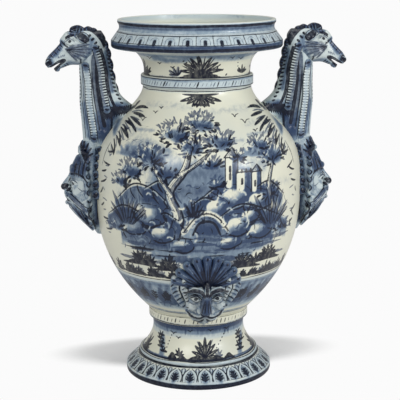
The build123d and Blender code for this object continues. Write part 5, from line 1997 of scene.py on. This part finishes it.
def front_mask():
    """The mask low on the front."""
    clay = Clay((-54, -150, 88), (54, -62, 182), 1.15)
    sections = (
        (-5, 12, 9), (2, 19, 16), (11, 22, 23), (23, 22, 27), (37, 19, 30), (51, 18, 32), (63, 13, 31),
        (73, 8, 26)
    )
    stations = [(up, 48, -front(0, 97 + up, relief)[1], half) for up, relief, half in sections]
    clay.loft((0, 0, 97), (0, 0, 1), (0, -1, 0), stations, 3)
    # Nose.
    clay.rod([front(0, 150, 19), front(0, 136, 22), front(0, 124, 25)], [4.6, 6.8, 8.4], 2.0)
    clay.rods(pair((7.5, 121.5, 22)), 5.0, 1.6)
    clay.rods(pair((4.5, 115.5, 27)), 2.0, 0.8, take=True)
    # Brows and the drop between them.
    clay.rods(pair((4, 150.5, 20), (11, 157, 20), (21, 157.5, 15), (30, 150, 8)), [3.6, 4.6, 4.2, 2.4], 1.5)
    clay.rod([front(0, 168, 13), front(0, 158, 20), front(0, 152, 22)], [1.6, 3.4, 2.6], 1.2)
    # Eyes.
    clay.eggs(pair((15, 143.5, 25)), (7.4, 6.5, 5.6), 2.0, take=True)
    clay.eggs(pair((14.8, 143, 15.4)), (5.4, 5.0, 4.8), 0.8)
    clay.rods(pair((7, 142.5, 19.5), (14.5, 148.6, 20.5), (22.5, 143.5, 14.5)), [1.3, 1.8, 1.3], 1.0)
    clay.rods(pair((7.4, 141.5, 19.5), (14.5, 138.4, 19.5), (22, 142, 14.5)), [1.2, 1.6, 1.2], 1.0)
    # Cheeks.
    clay.eggs(pair((19, 129.5, 13.5)), (9.0, 8.0, 8.5), 2.5)
    # Moustache and beard.
    clay.rods(
        pair((1, 114.5, 23.5), (9, 110.5, 23), (18, 111.5, 18), (25, 118, 11), (23, 124, 11)),
        [3.0, 4.0, 3.6, 2.6, 1.6], 1.2
    )
    clay.rods(
        pair((0, 107.5, 21.5), (7, 102.5, 20), (14, 101.5, 15), (19, 106, 10)), [3.2, 3.4, 2.8, 1.6], 1.2
    )
    clay.rod([front(0, 104, 21), front(0, 97.5, 18), front(0, 93.5, 14)], [3.4, 3.4, 2.2], 1.2)
    # Scrolled leaves at the sides.
    clay.rods(pair((31, 170, 6), (32, 158, 6), (28, 146, 7), (25, 135, 9)), [3.0, 4.4, 4.2, 3.0], 1.4)
    clay.rods(
        pair((44, 172, 1), (45, 160, 1.5), (41, 146, 3), (33, 132, 5), (23, 119, 7), (15, 108, 10)),
        [4.2, 5.0, 5.2, 5.0, 4.0, 2.4], 1.4
    )
    clay.rods(pair((38, 168, 3), (39, 156, 4), (35, 142, 5)), [2.2, 2.6, 2.0], 1.2)
    clay.keep_outside(3)

    def draw(paint, points):
        paint.cool += 0.25
        view = flat_view(paint, points)
        view.stroke([(0, 148), (0, 134), (0, 119)], 17, "mid", (0.45, 1.0), 0.85)
        view.wash([(0, 140), (0, 120)], 9, 0.8)
        for x in (-6.5, -2.5, 2.5, 6.5):
            view.stroke([(x * 0.45, 142), (x, 121)], 1.8, "dark", (0.3, 0.6), 0.85)
        view.stroke([(-9, 117), (-4, 114.5), (0, 116), (4, 114.5), (9, 117)], 1.9, "dark", (0.6, 0.6))
        view.stroke([(0, 170), (0, 158), (0, 149)], 4.4, "dark", (0.4, 0.8))
        # The same strokes on both sides of the face.
        for side in (-1, 1):
            view = flat_view(paint, points, flip=side)
            view.stroke([(3.5, 147), (8, 155.5), (19, 157.5), (30, 150)], 5.6, "dark", (0.5, 0.3), 0.95)
            view.stroke([(5, 161), (16, 164), (27, 158)], 2.4, "mid", (0.3, 0.3), 0.9)
            view.wash([(10, 151), (22, 151)], 5, 0.5)
            view.stroke([(7, 142), (14.5, 149), (23, 143)], 1.8, "dark", (0.6, 0.6))
            view.stroke([(7.6, 141), (14.5, 137.6), (22, 141.5)], 1.5, "dark", (0.5, 0.5), 0.9)
            view.stroke([(14, 143.6), (15.4, 142.6)], 4.4, "dark", (1, 1))
            # A small white spot left beside each pupil: a painted glint.
            view.lift([(12.6, 144.6), (13.0, 145.0)], 1.2)
            view.stroke([(10, 134), (18, 133), (26, 137)], 1.5, "mid", (0.3, 0.3), 0.8)
            view.stroke([(13, 125), (18, 121), (25, 124)], 1.8, "mid", (0.3, 0.3), 0.9)
            view.stroke([(1, 113), (9, 108.5), (18, 110), (25, 117)], 4.2, "dark", (0.5, 0.3), 0.95)
            view.stroke([(2, 105), (8, 100), (15, 100)], 3.4, "dark", (0.5, 0.3), 0.95)
            view.stroke([(3, 100), (5, 95)], 2.4, "mid", (0.5, 0.3), 0.95)
            for k in range(9):
                z = 168 - 6 * k
                x = np.interp(z, (108, 119, 132, 146, 160, 172), (15, 23, 33, 41, 45, 44))
                view.stroke(
                    [(x - 4, z + 2), (x + 1, z), (x + 4, z - 4)], 2.1, "dark" if k % 2 else "mid", (0.4, 0.4),
                    0.95
                )
                view.wash([(x, z), (x + 2, z - 1)], 4.5, 0.5)
            for k in range(7):
                z = 168 - 5.2 * k
                x = np.interp(z, (135, 146, 158, 170), (25, 28, 32, 31))
                view.stroke([(x - 1, z), (x + 1.4, z - 1.6)], 1.7, "dark", (1, 1), 0.85)
            view.stroke([(36, 172), (37, 156), (32, 141)], 1.9, "dark", (0.5, 0.5), 0.9)
            view.stroke([(25, 170), (26, 158), (23.5, 150)], 1.7, "dark", (0.4, 0.4), 0.9)

    finish_clay(clay, "front_face", "front_mask", draw, 0.9, 0.24, mirrored=False)


def front_shell():
    """The scallop shell above the front mask."""
    clay = Clay((-58, -152, 148), (58, -96, 212), 1.15)
    hinge, reach = np.array([0, 157]), 44
    angles = [math.radians(-75 + 150 * k / 8) for k in range(9)]
    ends = [(reach * math.sin(a), hinge[1] + reach * math.cos(a)) for a in angles]

    def along_rib(end, share, relief):
        return front(end[0] * share, hinge[1] + (end[1] - hinge[1]) * share, relief)

    for end in ends:
        clay.rod(
            [front(0, hinge[1], 8), along_rib(end, 0.5, 6.0), along_rib(end, 1, 0.6)], [2.8, 4.6, 6.9], 1.0
        )
    for end in ends:
        clay.rod([along_rib(end, 0.82 * 0.6, 6.2), along_rib(end, 0.82, 4.2)], [1.5, 2.6], 1.4)
    clay.rod([front(-7, 158, 8), front(0, 161, 10.5), front(7, 158, 8)], [3.4, 4.2, 3.4], 1.5)
    clay.keep_outside(3)

    def draw(paint, points):
        paint.cool += 0.4
        view = flat_view(paint, points)
        view.wash([(0, 162), (0, 186)], 34, 1.0)
        for x, z in ends:
            d = np.array([x, z - hinge[1]]) / reach
            aside = d[::-1]
            view.stroke([hinge + d * 8, hinge + d * 26, hinge + d * reach], 11.5, "mid", (0.3, 0.9), 0.82)
            view.stroke(
                [hinge + d * 16 + aside * 2, hinge + d * 40 + aside * 3], 1.8, "dark", (0.3, 0.3), 0.8
            )
            view.stroke([hinge + d * 5, hinge + d * 22, hinge + d * 33], 1.6, "dark", (0.8, 0.2), 0.8)
            view.stroke([hinge + d * 45, hinge + d * 46.6], 2.6, "dark", (1, 1), 0.95)
            view.lift([hinge + d * 30 + np.array([-1.2, 1]), hinge + d * 41 + np.array([-1.4, 1])], 1.4, 0.55)
        for k in range(8):
            angle = math.radians(-75 + 150 * (k + 0.5) / 8)
            d = np.array([math.sin(angle), math.cos(angle)])
            view.stroke([hinge + d * 6, hinge + d * 24, hinge + d * reach], 2.4, "dark", (0.6, 0.8), 0.95)
        for x, z in ends:
            facing = math.degrees(math.atan2(z - hinge[1], x))
            scallop = ring_points(x, z, 15, 15, facing - 75, facing + 75, rough=0, count=7)
            view.stroke(scallop, 1.3, "dark", (0.8, 0.8), 0.8)

    finish_clay(clay, "fan", "front_shell", draw, 0.5, 0.62, mirrored=False)


handle_neck()
horse_head()
mane()
ears()
side_mask()
mask_curls()
front_mask()
front_shell()

# Floor, lamps and camera.


# The floor takes the jar's shadow inside an oval round the foot, and fades to even white beyond it.
PAPER = (0.8, 0.8, 0.805, 1)
PAPER_SEEN = (0.99, 0.99, 0.99, 1)
PAPER_FAR = (0.965, 0.965, 0.965, 1)
OVAL_SHIFT = (0, -0.20, 0)
OVAL_SQUEEZE = (1, 2.8, 1)
SHADOW_INNER = 0.155
SHADOW_OUTER = 0.24
# The photograph is 400 pixels wide, and its lens was fitted as 1217 of those pixels.
SENSOR = 36
PICTURE_WIDTH = 400
FOCAL_LENGTH = 1217
CAMERA_AWAY = 1.75
CAMERA_HEIGHT = 0.626
CAMERA_YAW = TURN + math.radians(0.113)
CAMERA_TILT = math.radians(11.96)
CAMERA_ROLL = math.radians(0.27)
# Name, power in watts, size and place of each lamp, in metres; all of them face the middle of the jar.
LAMPS = (
    ("key", 27.0, 0.9, (-1.3, -1.9, 1.8)),
    ("fill", 29.0, 0.55, (1.7, -1.6, 1.15)),
    ("top", 8.0, 1.0, (0.1, 0.3, 2.4)),
)
LAMP_TARGET = (0, 0, 0.28)
SKY_STRENGTH = 0.36


def add_object(name, data):
    """Puts a mesh, lamp or camera into the scene."""
    thing = bpy.data.objects.new(name, data)
    bpy.context.scene.collection.objects.link(thing)
    return thing


def stage_and_camera():
    """A white floor, three soft lamps and the camera of the photograph."""
    floor_mesh = bpy.data.meshes.new("floor")
    floor_mesh.from_pydata([(-30, -30, 0), (30, -30, 0), (30, 60, 0), (-30, 60, 0)], [], [(0, 1, 2, 3)])
    floor = add_object("floor", floor_mesh)
    n = Nodes("paper")
    seen = n.add("ShaderNodeLightPath").outputs["Is Camera Ray"]
    place = n.add("ShaderNodeTexCoord").outputs["Object"]
    oval = n.add("ShaderNodeMapping", None, Vector=place, Location=OVAL_SHIFT, Scale=OVAL_SQUEEZE).outputs[0]
    reach = n.add("ShaderNodeVectorMath", {"operation": "LENGTH"}, Vector=oval).outputs["Value"]
    paper = n.add("ShaderNodeBsdfDiffuse", None, Color=n.mix(seen, PAPER, PAPER_SEEN))
    white = n.add("ShaderNodeEmission", None, Color=PAPER_FAR, Strength=1.0)
    share = n.math("MULTIPLY", seen, n.ramp(reach, SHADOW_INNER, SHADOW_OUTER))
    shader = n.add("ShaderNodeMixShader", None, i0=share, i1=paper.outputs[0], i2=white.outputs[0])
    n.add("ShaderNodeOutputMaterial", None, Surface=shader.outputs[0])
    floor_mesh.materials.append(n.material)

    world = bpy.data.worlds.new("studio")
    bpy.context.scene.world = world
    world.use_nodes = True
    world.node_tree.nodes["Background"].inputs[0].default_value = (1, 1, 1, 1)
    world.node_tree.nodes["Background"].inputs[1].default_value = SKY_STRENGTH

    for name, energy, size, place in LAMPS:
        data = bpy.data.lights.new(name, "AREA")
        data.energy = energy
        data.size = size
        lamp = add_object(name, data)
        lamp.location = place
        lamp.rotation_euler = (Vector(LAMP_TARGET) - Vector(place)).to_track_quat("-Z", "Y").to_euler()

    data = bpy.data.cameras.new("camera")
    data.sensor_width = SENSOR
    data.lens = FOCAL_LENGTH / PICTURE_WIDTH * SENSOR
    data.dof.use_dof = False
    camera = add_object("camera", data)
    yaw, tilt, roll = CAMERA_YAW, CAMERA_TILT, CAMERA_ROLL
    ahead = Vector((math.sin(yaw) * math.cos(tilt), math.cos(yaw) * math.cos(tilt), -math.sin(tilt)))
    right = Vector((math.cos(yaw), -math.sin(yaw), 0))
    up = right.cross(ahead)
    right, up = right * math.cos(roll) - up * math.sin(roll), up * math.cos(roll) + right * math.sin(roll)
    turn = Matrix((right, up, -ahead)).transposed()
    place = (-CAMERA_AWAY * math.sin(TURN), -CAMERA_AWAY * math.cos(TURN), CAMERA_HEIGHT)
    camera.matrix_world = Matrix.Translation(place) @ turn.to_4x4()
    bpy.context.scene.camera = camera
    bpy.context.scene.view_settings.view_transform = "Standard"


stage_and_camera()
